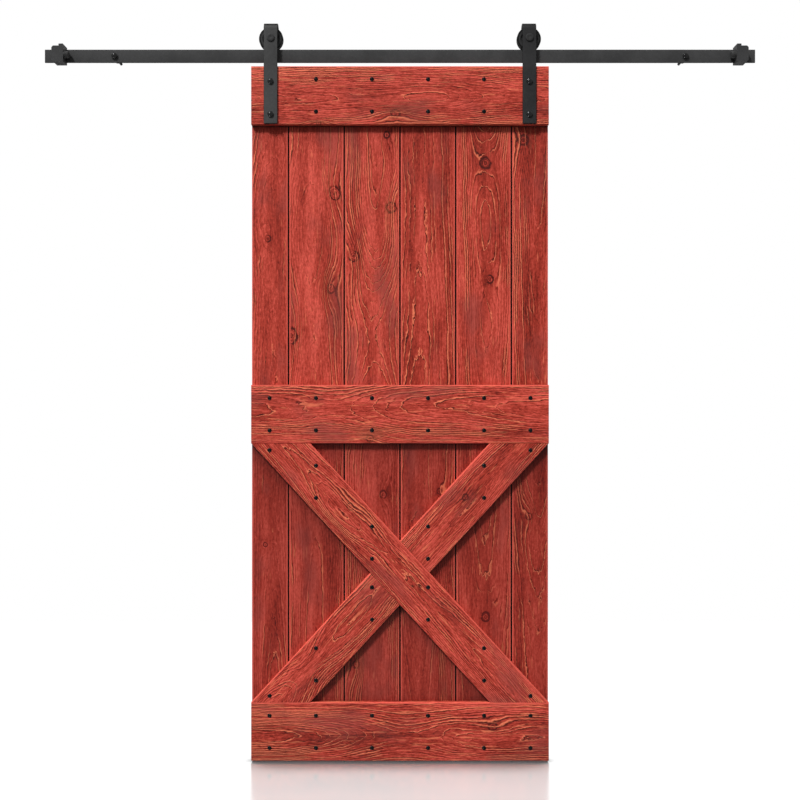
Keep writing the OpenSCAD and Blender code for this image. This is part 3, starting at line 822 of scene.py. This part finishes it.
def plankLoop(name):
    low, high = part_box(name)
    tongue, fit, tip = plankJoint["tongue"], plankJoint["fit"], plankJoint["round"]
    left, right = plankFace(name)
    middle = (low.y + high.y) / 2
    ease = boardShape["plankRound"]
    corners = [(left, low.y, ease), (right, low.y, ease)]
    if name != planks[-1]:
        corners += [(right, middle - tongue / 2, 0), (high.x, middle - tongue / 2, tip),
                    (high.x, middle + tongue / 2, tip), (right, middle + tongue / 2, 0)]
    corners += [(right, high.y, ease), (left, high.y, ease)]
    if name != planks[0]:
        half = tongue / 2 + fit
        inner = left + plankJoint["bite"] + fit
        corners += [(left, middle + half, 0), (inner, middle + half, 0),
                    (inner, middle - half, 0), (left, middle - half, 0)]
    return roundedLoop(corners)


# Each board: where the log's heart lies behind it, how it leans and wanders along the board, a
# swell that brings the rings to a point above and below it (a hollow, if it is less than nothing,
# closes them to ovals) as place, reach and height, the board's shade, and its knots in
# centimetres: across and up from the middle of a plank, or along and up from the middle of a rail
# or a brace, and then the radius
boards = {
    "plank_1": {"heart": 5.5, "off": 1.0, "lean": 0.035, "arch": 3.0, "swell": (60, 20, -2.0),
                "tone": 0.0, "knots": [(-0.6, 54.0, 0.9), (-1.4, -40.5, 0.6)]},
    "plank_2": {"heart": 5.0, "off": -0.8, "lean": 0.028, "arch": 3.0, "swell": (57, 15, -2.6),
                "tone": 0.08, "knots": [(5.8, 68.0, 1.7), (4.4, 38.5, 1.1), (-8.0, 24.0, 2.0)]},
    "plank_3": {"heart": 2.6, "off": 1.0, "lean": -0.012, "arch": 1.5, "swell": (24, 29, 7.5),
                "tone": 0.10, "knots": [(5.9, 63.5, 1.4), (4.4, 86.0, 0.9), (-5.6, 48.5, 1.4),
                                        (3.4, -25.0, 1.0), (-4.9, -77.5, 1.0)]},
    "plank_4": {"heart": 7.5, "off": -3.0, "lean": 0.020, "arch": 3.0, "swell": (-60, 22, -3.0),
                "tone": -0.02, "knots": [(3.6, -24.0, 0.7)]},
    "plank_5": {"heart": 5.2, "off": 0.6, "lean": -0.045, "arch": 1.8, "swell": (78, 10, 2.0),
                "tone": 0.03, "knots": [(0.6, 77.3, 1.5), (2.0, 41.5, 1.1), (0.6, -62.8, 1.2)]},
    "plank_6": {"heart": 5.6, "off": 2.6, "lean": -0.050, "arch": 1.8, "swell": (-20, 18, -1.5),
                "tone": -0.04, "knots": [(-2.0, 84.4, 1.4), (-0.4, -31.8, 0.9)]},
    "top_rail": {"heart": 5.2, "off": -1.0, "lean": 0.030, "arch": 3.0, "swell": (10, 14, -1.8),
                 "tone": 0.03, "knots": [(-1.4, -5.7, 1.2), (-25.0, -8.4, 0.7)]},
    "middle_rail": {"heart": 6.0, "off": 2.0, "lean": -0.025, "arch": 3.5, "swell": (-20, 16, 2.0),
                    "tone": 0.01, "knots": [(-9.2, -7.5, 0.9)]},
    "bottom_rail": {"heart": 4.6, "off": -1.5, "lean": 0.028, "arch": 3.0, "swell": (0, 18, 3.0),
                    "tone": -0.11, "knots": [(28.5, 1.5, 1.2)]},
    "brace_long": {"heart": 4.4, "off": 0.8, "lean": -0.020, "arch": 2.5, "swell": (-26, 12, -2.0),
                   "tone": 0.02, "knots": [(-25.3, 2.6, 1.0)]},
    "brace_upper": {"heart": 4.2, "off": -1.0, "lean": 0.025, "arch": 2.5, "swell": (0, 12, -1.5),
                    "tone": 0.02, "knots": [(0.5, 1.0, 0.9)]},
    "brace_lower": {"heart": 4.6, "off": 1.2, "lean": 0.040, "arch": 2.5, "swell": (-10, 10, 2.5),
                    "tone": 0.02, "knots": []},
}


def addBoard(name, index, shape, centre, along, acrossWay, half):
    plank = name in planks
    board = dict(boards[name], seed=3.7 * index + 1.3, centre=centre, along=Vector(along),
                 across=Vector(acrossWay), half=half / cm, pools=plank,
                 figure=figure["plank" if plank else "board"])
    if not plank:
        board["knots"] = [(v, reach, size) for reach, v, size in board["knots"]]
    pine = stainedPine(name + "_pine", board)
    standFor(newPiece(name + "_board", *shape, pine, edgeRound=boardShape["endRound"]), name)


def makePlanks():
    for index, name in enumerate(planks, 1):
        low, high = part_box(name)
        shape = sawnBoard(plankLoop(name), high.z - low.z, index, lambda x, y, z: (x, y, low.z + z))
        left, right = plankFace(name)
        centre = Vector(((left + right) / 2, low.y, (low.z + high.z) / 2))
        addBoard(name, index, shape, centre, (0, 0, 1), (1, 0, 0), (right - left) / 2)


def makeRails():
    for index, name in enumerate(("top_rail", "middle_rail", "bottom_rail"), 11):
        low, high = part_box(name)
        loop = barLoop(low.z, low.y, high.z, high.y, *boardShape["railRounds"])
        shape = sawnBoard(loop, high.x - low.x, index, lambda z, y, x: (low.x + x, y, z))
        centre = Vector(((low.x + high.x) / 2, low.y, (low.z + high.z) / 2))
        addBoard(name, index, shape, centre, (1, 0, 0), (0, 0, 1), (high.z - low.z) / 2)


def cutBoard(shape, planes):
    # what is left of a board on the inner side of each (point, outward normal) plane
    verts, faces = shape
    mesh = bpy.data.meshes.new("cut")
    mesh.from_pydata([tuple(v) for v in verts], [], faces)
    work = bmesh.new()
    work.from_mesh(mesh)
    for point, normal in planes:
        found = bmesh.ops.bisect_plane(work, geom=work.verts[:] + work.edges[:] + work.faces[:],
                                       plane_co=point, plane_no=normal, clear_outer=True)
        rim = [item for item in found["geom_cut"] if isinstance(item, bmesh.types.BMEdge)]
        bmesh.ops.contextual_create(work, geom=rim)
    work.verts.ensure_lookup_table()
    kept = [v.co.copy() for v in work.verts]
    order = {v: i for i, v in enumerate(work.verts)}
    left = [tuple(order[v] for v in face.verts) for face in work.faces]
    work.free()
    bpy.data.meshes.remove(mesh)
    return kept, left


def makeBraces():
    top = (Vector((0, 0, fieldTop)), up)
    bottom = (Vector((0, 0, fieldBottom)), down)
    left = (Vector((panelLow.x, 0, 0)), Vector((-1, 0, 0)))
    right = (Vector((panelHigh.x, 0, 0)), Vector((1, 0, 0)))
    aboveLong = across(falling)
    clear = aboveLong * (braceWidth / 2 + boardShape["buttGap"])
    cuts = {
        "brace_long": (falling, [top, bottom, left, right]),
        "brace_upper": (rising, [top, right, (braceMiddle + clear, -aboveLong)]),
        "brace_lower": (rising, [bottom, left, (braceMiddle - clear, aboveLong)]),
    }
    length = math.hypot(fieldTop - fieldBottom, panelW) + 2 * braceWidth
    for index, (name, (along, planes)) in enumerate(cuts.items(), 21):
        start = braceMiddle - along * length / 2
        loop = barLoop(-braceWidth / 2, faceY, braceWidth / 2, seamY, *boardShape["railRounds"])

        def toWorld(v, y, reach, start=start, along=along):
            return tuple(start + along * reach + across(along) * v + Vector((0, y, 0)))

        shape = cutBoard(sawnBoard(loop, length, index, toWorld), planes)
        centre = Vector(centred(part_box(name))) - braceMiddle
        centre = braceMiddle + along * centre.dot(along) + Vector((0, faceY, 0))
        addBoard(name, index, shape, centre, along, across(along), braceWidth / 2)


makePlanks()
makeRails()
makeBraces()
print("boards made:", len(boards))


# screws

screw = {
    "points": 32,              # round the head and the shank
    "flange": 0.5 * mm,        # thin edge of the head
    "seat": 0.1 * mm,          # bevel where the head meets the board
    "recess": 1.5 * mm,        # depth of the cross recess
    "recessR": 2.9 * mm,
    "recessW": 0.75 * mm,      # half the width of each arm
    "shank": 2.0 * mm,
    "pitch": 1.8 * mm,
    "thread": 0.5 * mm,
    "threadEnd": 4.5 * mm,     # from the last full turn to the point
    "taper": 3.5 * mm,         # from where the shank narrows to the point
}
domeShares = (0.0, 0.09, 0.16, 0.24, 0.34, 0.46, 0.56, 0.7, 0.84, 0.94, 1.0)   # of the head's radius


def screwShape(low, high):
    radius = (high.x - low.x) / 2
    headY = faceY - low.y
    angle = angleRow(screw["points"])
    sphere = (radius ** 2 + (headY - screw["flange"]) ** 2) / (2 * (headY - screw["flange"]))
    armAcross = np.minimum(np.abs(np.sin(angle)), np.abs(np.cos(angle)))
    rings = []
    for share in domeShares:
        r = share * radius
        dome = low.y + sphere - math.sqrt(sphere ** 2 - r ** 2)
        inArm = np.clip((screw["recessW"] * 1.25 - armAcross * r) / (0.5 * screw["recessW"]), 0, 1)
        fade = np.clip((screw["recessR"] - r) / (0.25 * screw["recessR"]), 0, 1)
        taper = 1 - 0.45 * share
        rings.append((r, dome + screw["recess"] * inArm * fade * taper))
    shankR = screw["shank"]
    rings += [(radius, faceY - screw["seat"]), (radius - screw["seat"], faceY), (shankR, faceY)]
    core = shankR - screw["thread"] * 0.4
    rows = int((high.y - screw["threadEnd"] - seamY) / screw["pitch"] * 4)    # four to each turn
    for k in range(rows + 1):
        crest = np.abs(np.mod(angle / (2 * math.pi) - k / 4, 1.0) - 0.5) * 2
        rings.append((core + screw["thread"] * np.clip(crest * 2 - 1, 0, 1),
                      seamY + k / 4 * screw["pitch"]))
    rings += [(shankR * 0.7, high.y - screw["taper"]), (0.0, high.y)]
    return turned(rings, screw["points"])


def makeScrews():
    for node in sorted(name for name in nodes if name.endswith("_screws")):
        shapes = []
        for index, (low, high) in enumerate(islands(node)):
            verts, faces = screwShape(low, high)
            turn = Matrix.Rotation(math.radians(37 * index % 90), 3, "Y")
            verts = np.array([tuple(turn @ Vector(v)) for v in verts])
            shapes.append(moved((verts, faces), centred((low, high))))
        standFor(joined(node + "_set", shapes, materials["black_fixing"]), node)


makeScrews()
print("screws made")


# bolts and nuts

hexagon = {
    "flats": 17 * mm,
    "chamfer": 0.55,           # slope of the turned-off corners
    "circle": 0.96,            # the crowned top's circle, as a share of the flats
    "crown": 2.6 * mm,         # how far the top's edge lies below its middle
    "round": 0.35 * mm,
}
lag = {
    "shank": 5 * mm,
    "threadR": 4.25 * mm,
    "pitch": 3.6 * mm,
    "height": 0.85 * mm,
    "neck": 0.6 * mm,          # where the shank narrows to the thread, in front of the wall
    "point": 7 * mm,           # length of the tapered end
    "hole": 5.5 * mm,          # radius of the hole in its spacer and washer
}
bolt = {                       # the strap bolts and the axle bolts
    "shank": 5 * mm,
    "pitch": 1.5 * mm,
    "thread": 0.6 * mm,
    "lead": 0.2 * mm,          # from the plain shank to the first turn
    "end": 4 * mm,             # radius of the chamfered end
    "bore": 5.1 * mm,          # radius of the bore of the nuts on it
}
axleHead = {
    "dimple": (0.30, 0.36),    # the centre mark's floor and rim, as shares of the head's radius
    "dimpleDeep": 0.25 * mm,
    "shoulder": ((1.4 * mm, 0.0), (0.5 * mm, 0.35 * mm), (0.0, 1.2 * mm)),    # in from the side, and down
    "seat": 0.2 * mm,
}
sleeveNut = {
    "barrel": 6.5 * mm,
    "socket": 3.5 * mm,        # from the middle of the key socket to its corners
    "socketDeep": 2.5 * mm,
    "dome": 0.5 * mm,
    "domeEdge": 1.6 * mm,      # width of the flange's sloping edge
    "wall": 3 * mm,            # solid metal in front of the flange
    "round": 0.3 * mm,
}
washerRound = 0.25 * mm


def hexRings(topY, baseY):
    # rings of a crowned head from its top to the face that it bears on
    edge = hexRadius(hexagon["flats"])
    circle = hexagon["circle"] * hexagon["flats"] / 2
    rimY = topY + hexagon["crown"]
    corner = rimY + (edge - circle) * hexagon["chamfer"]
    soft = hexagon["round"]
    rings = [(share * circle, topY + hexagon["crown"] * share ** 2)
             for share in (0.0, 0.2, 0.4, 0.6, 0.8, 0.97)]
    return rings + [(circle, rimY + soft * 0.4), (edge - soft * 0.2, corner + soft * 0.3),
                    (edge, corner + soft), (edge, baseY - soft), (edge - soft, baseY)]


def threadRings(radius, startY, endY, pitch, height, taper=0.0):
    # a screw thread round the Y axis from startY to endY
    rows = max(2, int(abs(endY - startY) / pitch * 6))
    turn = angleRow(roundCount) / (2 * math.pi)
    rings = []
    for k in range(rows + 1):
        y = startY + (endY - startY) * k / rows
        crest = np.abs(np.mod(turn - abs(y - startY) / pitch, 1.0) - 0.5) * 2
        fade = min(1.0, k / 4)
        shrink = 1 - taper * k / rows
        rings.append(((radius - height + height * crest * fade + height * (1 - fade)) * shrink, y))
    return rings


def threadedEnd(startY, endY, chamfer):
    # the last stretch of a machine bolt, from the end of its plain shank
    thread = threadRings(bolt["shank"], startY + bolt["lead"], endY - chamfer, bolt["pitch"],
                         bolt["thread"])
    return [(bolt["shank"], startY)] + thread + [(bolt["end"], endY), (0.0, endY)]


def lagBoltShape(low, high):
    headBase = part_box("lag_washers")[0].y
    pointY = high.y - lag["point"]
    rings = hexRings(low.y, headBase)
    rings += [(lag["shank"], headBase), (lag["shank"], -lag["neck"]), (lag["threadR"], 0.0)]
    rings += threadRings(lag["threadR"], 0.4 * mm, pointY, lag["pitch"], lag["height"])
    rings += threadRings(lag["threadR"], pointY + 0.2 * mm, high.y - 0.6 * mm, lag["pitch"],
                         lag["height"] * 0.6, taper=0.86)
    rings.append((0.0, high.y))
    return turned(rings)


def washerShape(low, high):
    # a washer or a spacer on a wall bolt
    soft = washerRound
    inner, outer = lag["hole"], (high.x - low.x) / 2
    return turnedRing([(inner, low.y + soft), (inner + soft, low.y), (outer - soft, low.y),
                       (outer, low.y + soft), (outer, high.y - soft), (outer - soft, high.y),
                       (inner + soft, high.y), (inner, high.y - soft)])


def strapBoltShape(low, high):
    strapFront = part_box("strap_left")[0].y
    rings = hexRings(low.y, strapFront) + [(bolt["shank"], strapFront)]
    return turned(rings + threadedEnd(seamY, high.y, 0.8 * mm))


def sleeveNutShape(low, high):
    flange, barrel, soft = (high.x - low.x) / 2, sleeveNut["barrel"], sleeveNut["round"]
    socket = hexRadius(sleeveNut["socket"] * math.sqrt(3))
    floorY = high.y - sleeveNut["socketDeep"]
    edgeY = high.y - sleeveNut["dome"]
    wallY = backY - sleeveNut["wall"]
    return turned([(0.0, floorY), (socket * 0.6, floorY), (socket, floorY), (socket, high.y - soft),
                   (socket + soft, high.y), (flange - sleeveNut["domeEdge"], high.y),
                   (flange - soft, edgeY), (flange, edgeY - soft), (flange, backY + soft),
                   (flange - soft, backY), (barrel, backY), (barrel, low.y + soft),
                   (barrel - soft, low.y), (bolt["bore"], low.y), (bolt["bore"], wallY),
                   (0.0, wallY)])


def axleBoltShape(low, high):
    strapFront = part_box("strap_left")[0].y
    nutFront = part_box("axle_nut_left")[0].y
    radius, seat = (high.x - low.x) / 2, axleHead["seat"]
    dimpleY = low.y + axleHead["dimpleDeep"]
    inner, outer = (radius * share for share in axleHead["dimple"])
    rings = [(0.0, dimpleY), (inner, dimpleY), (outer, low.y)]
    rings += [(radius - inset, low.y + drop) for inset, drop in axleHead["shoulder"]]
    rings += [(radius, strapFront - seat), (radius - seat, strapFront), (bolt["shank"], strapFront)]
    return turned(rings + threadedEnd(nutFront - 2 * mm, high.y, 0.9 * mm))


def axleNutShape(low, high):
    soft, bore = hexagon["round"], bolt["bore"]
    edge = hexRadius(hexagon["flats"])
    circle = hexagon["circle"] * hexagon["flats"] / 2
    drop = (edge - circle) * hexagon["chamfer"]
    return turnedRing([(bore, low.y + soft), (bore + soft, low.y), (circle, low.y),
                       (edge, low.y + drop + soft), (edge, high.y - drop - soft), (circle, high.y),
                       (bore + 2 * soft, high.y), (bore, high.y - 2 * soft)])


def makeFixing(node, name, shapeOf, finish):
    # one piece for all the solids of a node
    shapes = [moved(shapeOf(*box), centred(box)) for box in islands(node)]
    standFor(joined(name, shapes, materials[finish]), node)


def makeFixings():
    for index in range(1, 5):
        makeFixing(f"lag_bolt_{index}", f"lag_bolt_{index}_hex", lagBoltShape, "bolt_black")
        makeFixing(f"wall_spacer_{index}", f"wall_spacer_{index}_tube", washerShape, "powder_coat")
    makeFixing("lag_washers", "lag_washer_set", washerShape, "powder_coat")
    makers = {"strap_bolts": (strapBoltShape, "bolt_black"), "strap_nuts": (sleeveNutShape, "bolt_black"),
              "axle_bolt": (axleBoltShape, "wheel_coat"), "axle_nut": (axleNutShape, "bolt_black")}
    for side in sides:
        for kind, (shapeOf, finish) in makers.items():
            makeFixing(f"{kind}_{side}", f"{kind}_{side}_set", shapeOf, finish)


makeFixings()
print("bolts and nuts made")


# track, straps and stops

steel = {
    "edge": 0.8 * mm,          # rounded edges of the bar and the straps
    "endEdge": 0.5 * mm,       # and of their ends
    "blockEdge": 1.1 * mm,     # rounded edges of the end stops
    "wheelEdge": 0.25 * mm,
    "strapCorner": 2 * mm,
    "cornerSteps": (0, 0.12, 0.4, 1.0),    # heights in a strap's rounded corner, as shares of it
    "legStep": 20 * mm,        # from one cross-section of a strap's leg to the next
    "bendSteps": 18,
    "slice": 60 * mm,
    "bow": 0.12 * mm,          # how far the rolled bar's edges wander in
}


def makeTrack():
    low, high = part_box("track_bar")
    loop = np.array([tuple(p) for p in barLoop(low.y, low.z, high.y, high.z, steel["edge"])])
    rng = np.random.default_rng(5)
    count = int((high.x - low.x) / steel["slice"])
    drift = wavy(count + 1, rng, 4)
    middle = (low.z + high.z) / 2
    rows = []
    for k in range(count + 1):
        x = low.x + (high.x - low.x) * k / count
        inwards = np.where(loop[:, 1] > middle, -1, 1) * drift[k] * steel["bow"]
        rows.append([(x, y, z + d) for (y, z), d in zip(loop, inwards)])
    piece = newPiece("track_flat_bar", *capped(rows), materials["powder_coat"],
                     edgeRound=steel["endEdge"])
    standFor(piece, "track_bar")


def strapPath(side):
    # the strap's middle line as (y, z): from its foot, over the wheel and down to the back leg's end
    low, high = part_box(f"strap_{side}")
    axle = Vector(joints[f"wheel_{side}_spin"]["pos_m"])
    thick = faceY - low.y
    bend = (high.y - low.y) / 2 - thick / 2
    bendZ = high.z - bend - thick / 2
    legZ = min(v.co.z for v in nodes[f"strap_{side}"].data.vertices if v.co.y > axle.y)
    front, rear = low.y + thick / 2, high.y - thick / 2
    corner, step, steps = steel["strapCorner"], steel["legStep"], steel["bendSteps"]
    ease = [corner * share for share in steel["cornerSteps"]]
    straight = int((bendZ - low.z) / step)
    path = [(front, low.z + r) for r in ease + [corner + k * step for k in range(1, straight)]]
    for k in range(steps + 1):
        turn = math.pi * k / steps
        path.append((axle.y - bend * math.cos(turn), bendZ + bend * math.sin(turn)))
    path += [(rear, legZ + r) for r in reversed(ease)]
    return path, thick, legZ


def makeStrap(side):
    path, thick, legZ = strapPath(side)
    low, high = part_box(f"strap_{side}")
    corner = steel["strapCorner"]
    half = (high.x - low.x) / 2
    centre = (low.x + high.x) / 2
    loop = barLoop(-half, -thick / 2, half, thick / 2, steel["edge"])
    rows = []
    for k, (y, z) in enumerate(path):
        before = path[max(k - 1, 0)]
        after = path[min(k + 1, len(path) - 1)]
        along = Vector((after[0] - before[0], after[1] - before[1])).normalized()
        outward = Vector((-along.y, along.x))
        fromEnd = z - low.z if y < (low.y + high.y) / 2 else z - legZ
        cut = max(0.0, corner - fromEnd)
        pinch = corner - math.sqrt(max(0.0, corner ** 2 - cut ** 2))
        squeeze = (half - pinch) / half
        rows.append([(centre + p.x * squeeze, y - outward.x * p.y, z - outward.y * p.y) for p in loop])
    # the right strap has the darker coat: painted shade
    coat = materials["strap_coat_thick" if side == "right" else "strap_coat"]
    piece = newPiece(f"strap_{side}_bent", *capped(rows), coat, edgeRound=steel["endEdge"])
    standFor(piece, f"strap_{side}")


bumper = {
    "groove": 0.7 * mm,        # depth of the two grooves, and half their width
    "grooves": (0.55, 0.30),   # where they lie, as shares of the length
    "round": 3 * mm,
    "roundSteps": 6,
    "dimple": (0.25, 0.30, 0.36),    # the ring in its face: inner edge, bottom and outer edge
    "dimpleDeep": 0.4 * mm,
    "foot": 0.3 * mm,
    "stem": 3 * mm,
}


def makeBumper(side):
    node = f"stop_bumper_{side}"
    low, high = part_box(node)
    stopLow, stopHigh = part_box(f"stop_{side}")
    radius = (high.z - low.z) / 2
    inward = -1 if side == "right" else 1
    base = stopLow.x if side == "right" else stopHigh.x
    face = low.x if side == "right" else high.x
    stemEnd = high.x if side == "right" else low.x
    length, stemLength = abs(face - base), abs(stemEnd - base)
    inner, bottom, outer = (radius * share for share in bumper["dimple"])
    rings = [(0.0, length), (inner, length), (bottom, length - bumper["dimpleDeep"]), (outer, length)]
    for turn in np.linspace(0, math.pi / 2, bumper["roundSteps"]):
        rings.append((radius - bumper["round"] + bumper["round"] * math.sin(turn),
                      length - bumper["round"] * (1 - math.cos(turn))))
    deep, foot = bumper["groove"], bumper["foot"]
    for share in bumper["grooves"]:
        y = length * share
        rings += [(radius, y + deep), (radius - deep, y + deep / 2), (radius - deep, y - deep / 2),
                  (radius, y - deep)]
    rings += [(radius, foot), (radius - foot, 0.0), (bumper["stem"], 0.0),
              (bumper["stem"], -stemLength), (0.0, -stemLength)]
    verts, faces = turned(rings)
    verts = np.array([(base + inward * y, (low.y + high.y) / 2 + z, x) for x, y, z in verts])
    standFor(newPiece(node + "_rubber", verts, faces, materials["bumper_rubber"]), node)


makeTrack()
for side in sides:
    makeStrap(side)
    makeBumper(side)
print("track, straps and bumpers made")


# what keeps its CAD shape gets its finish, and softer edges where they show

softEdges = {}
for side in sides:
    softEdges[f"stop_{side}"] = steel["blockEdge"]
    softEdges[f"wheel_{side}"] = steel["wheelEdge"]


def dressCad(name, edgeRound):
    piece = nodes[name]
    piece.data.materials.clear()
    piece.data.materials.append(materials[slotOf[name]])
    if edgeRound:
        weld = piece.modifiers.new("welded", "WELD")
        weld.merge_threshold = 0.01 * mm
        flat = piece.modifiers.new("flattened", "DECIMATE")
        flat.decimate_type = "DISSOLVE"
        flat.angle_limit = math.radians(1.0)
        softenEdges(piece, edgeRound, angle=35)


for name, piece in nodes.items():
    if not piece.hide_render:
        dressCad(name, softEdges.get(name))
print("CAD pieces dressed")


# floor, light and background

studio = {
    "floorDrop": 4 * mm,       # from the panel's bottom to the floor
    "floorSize": (2.4, 1.9),   # half the floor's width and depth
    "floorGlow": 1.12,         # the floor is a lit table of glossy white glass
    "floorShade": (0.45, 0.95),    # openness at which the floor's painted contact shadow is darkest, and at which the floor is fully lit
    "shadeReach": 0.15,        # how near the panel must be to darken it
    "floorMirror": (0.49, 0.40),   # how mirror-like it is by the panel and nearer the front
    "mirrorReach": 30,         # centimetres from the panel to where it is less so
    "floorRough": (0.16, 0.22),
    "keyFrom": (-0.44, -0.60, 0.80),
    "keyStrength": 3.15,
    "keyAngle": 10,
    "rearFrom": (0.40, 0.75, 0.35),
    "rearStrength": 1.3,
    "rearAngle": 40,
    "above": 0.60,             # light from overhead, from the side and from below
    "beside": 0.22,
    "below": 0.03,
}


def makeFloor():
    width, reach = studio["floorSize"]
    z = panelLow.z - studio["floorDrop"]
    mesh = bpy.data.meshes.new("floor")
    mesh.from_pydata([(-width, -reach, z), (width, -reach, z), (width, reach, z), (-width, reach, z)],
                     [], [(0, 1, 2, 3)])
    paint = Paint(bpy.data.materials.new("floor_paint"), Metallic=1.0,
                  Emission_Strength=studio["floorGlow"])
    place = paint.place()
    cloud = paint.noise(place, scale=2.2, detail=3.0)
    near, far = studio["floorMirror"]
    mirror = paint.along(place, (0, -1, 0), (0, faceY, 0)).step(0, studio["mirrorReach"], near, far)
    # the glow dims where ambient occlusion finds the panel near: a painted contact shadow
    opened = paint.wire("ShaderNodeAmbientOcclusion", "AO", {"samples": 12},
                        {"Distance": studio["shadeReach"]})
    lit = opened.step(*studio["floorShade"], 0.12, 1.0) * (1 - mirror)
    black, white = (0, 0, 0), (1, 1, 1)
    mesh.materials.append(paint.feed(
        Base_Color=paint.mix(mirror, black, white), Emission_Color=paint.mix(lit, black, white),
        Roughness=cloud.step(0.2, 0.8, *studio["floorRough"])))
    floor = bpy.data.objects.new("floor", mesh)
    floor.visible_diffuse = False      # it lights nothing
    bpy.context.scene.collection.objects.link(floor)


def sunFrom(name, direction, strength, angle):
    data = bpy.data.lights.new(name, "SUN")
    data.energy = strength
    data.angle = math.radians(angle)
    sun = bpy.data.objects.new(name, data)
    bpy.context.scene.collection.objects.link(sun)
    sun.rotation_euler = Vector(direction).to_track_quat("Z", "Y").to_euler()
    return sun


def makeLight():
    sunFrom("key", studio["keyFrom"], studio["keyStrength"], studio["keyAngle"])
    rear = sunFrom("rear", studio["rearFrom"], studio["rearStrength"], studio["rearAngle"])
    rear.visible_glossy = False        # no glare on the floor

    # the room is white to look at, and lights the object mostly from overhead
    world = bpy.data.worlds.new("studio")
    bpy.context.scene.world = world
    room = Paint(world)
    direction = room.wire("ShaderNodeTexCoord", "Generated")
    height = room.wire("ShaderNodeSeparateXYZ", "Z", {}, {0: direction})
    stops = [(0.25, "below"), (0.5, "beside"), (1.0, "above")]
    stops = [(level, (studio[part],) * 3) for level, part in stops]
    light = room.wire("ShaderNodeValToRGB", 0, {"stops": stops}, {0: (height + 1) / 2})
    fill = room.wire("ShaderNodeBackground", 0, {}, {"Color": light})
    white = room.wire("ShaderNodeBackground", 0, {}, {"Color": (1, 1, 1, 1)})
    lighting = room.wire("ShaderNodeLightPath", "Is Diffuse Ray")
    both = room.wire("ShaderNodeMixShader", 0, {}, {0: lighting, 1: white, 2: fill})
    room.tree.links.new(both.socket, room.tree.nodes["World Output"].inputs["Surface"])


makeFloor()
makeLight()
bpy.context.scene.view_settings.view_transform = "Standard"
bpy.context.scene.view_settings.look = "None"
print("studio lit")
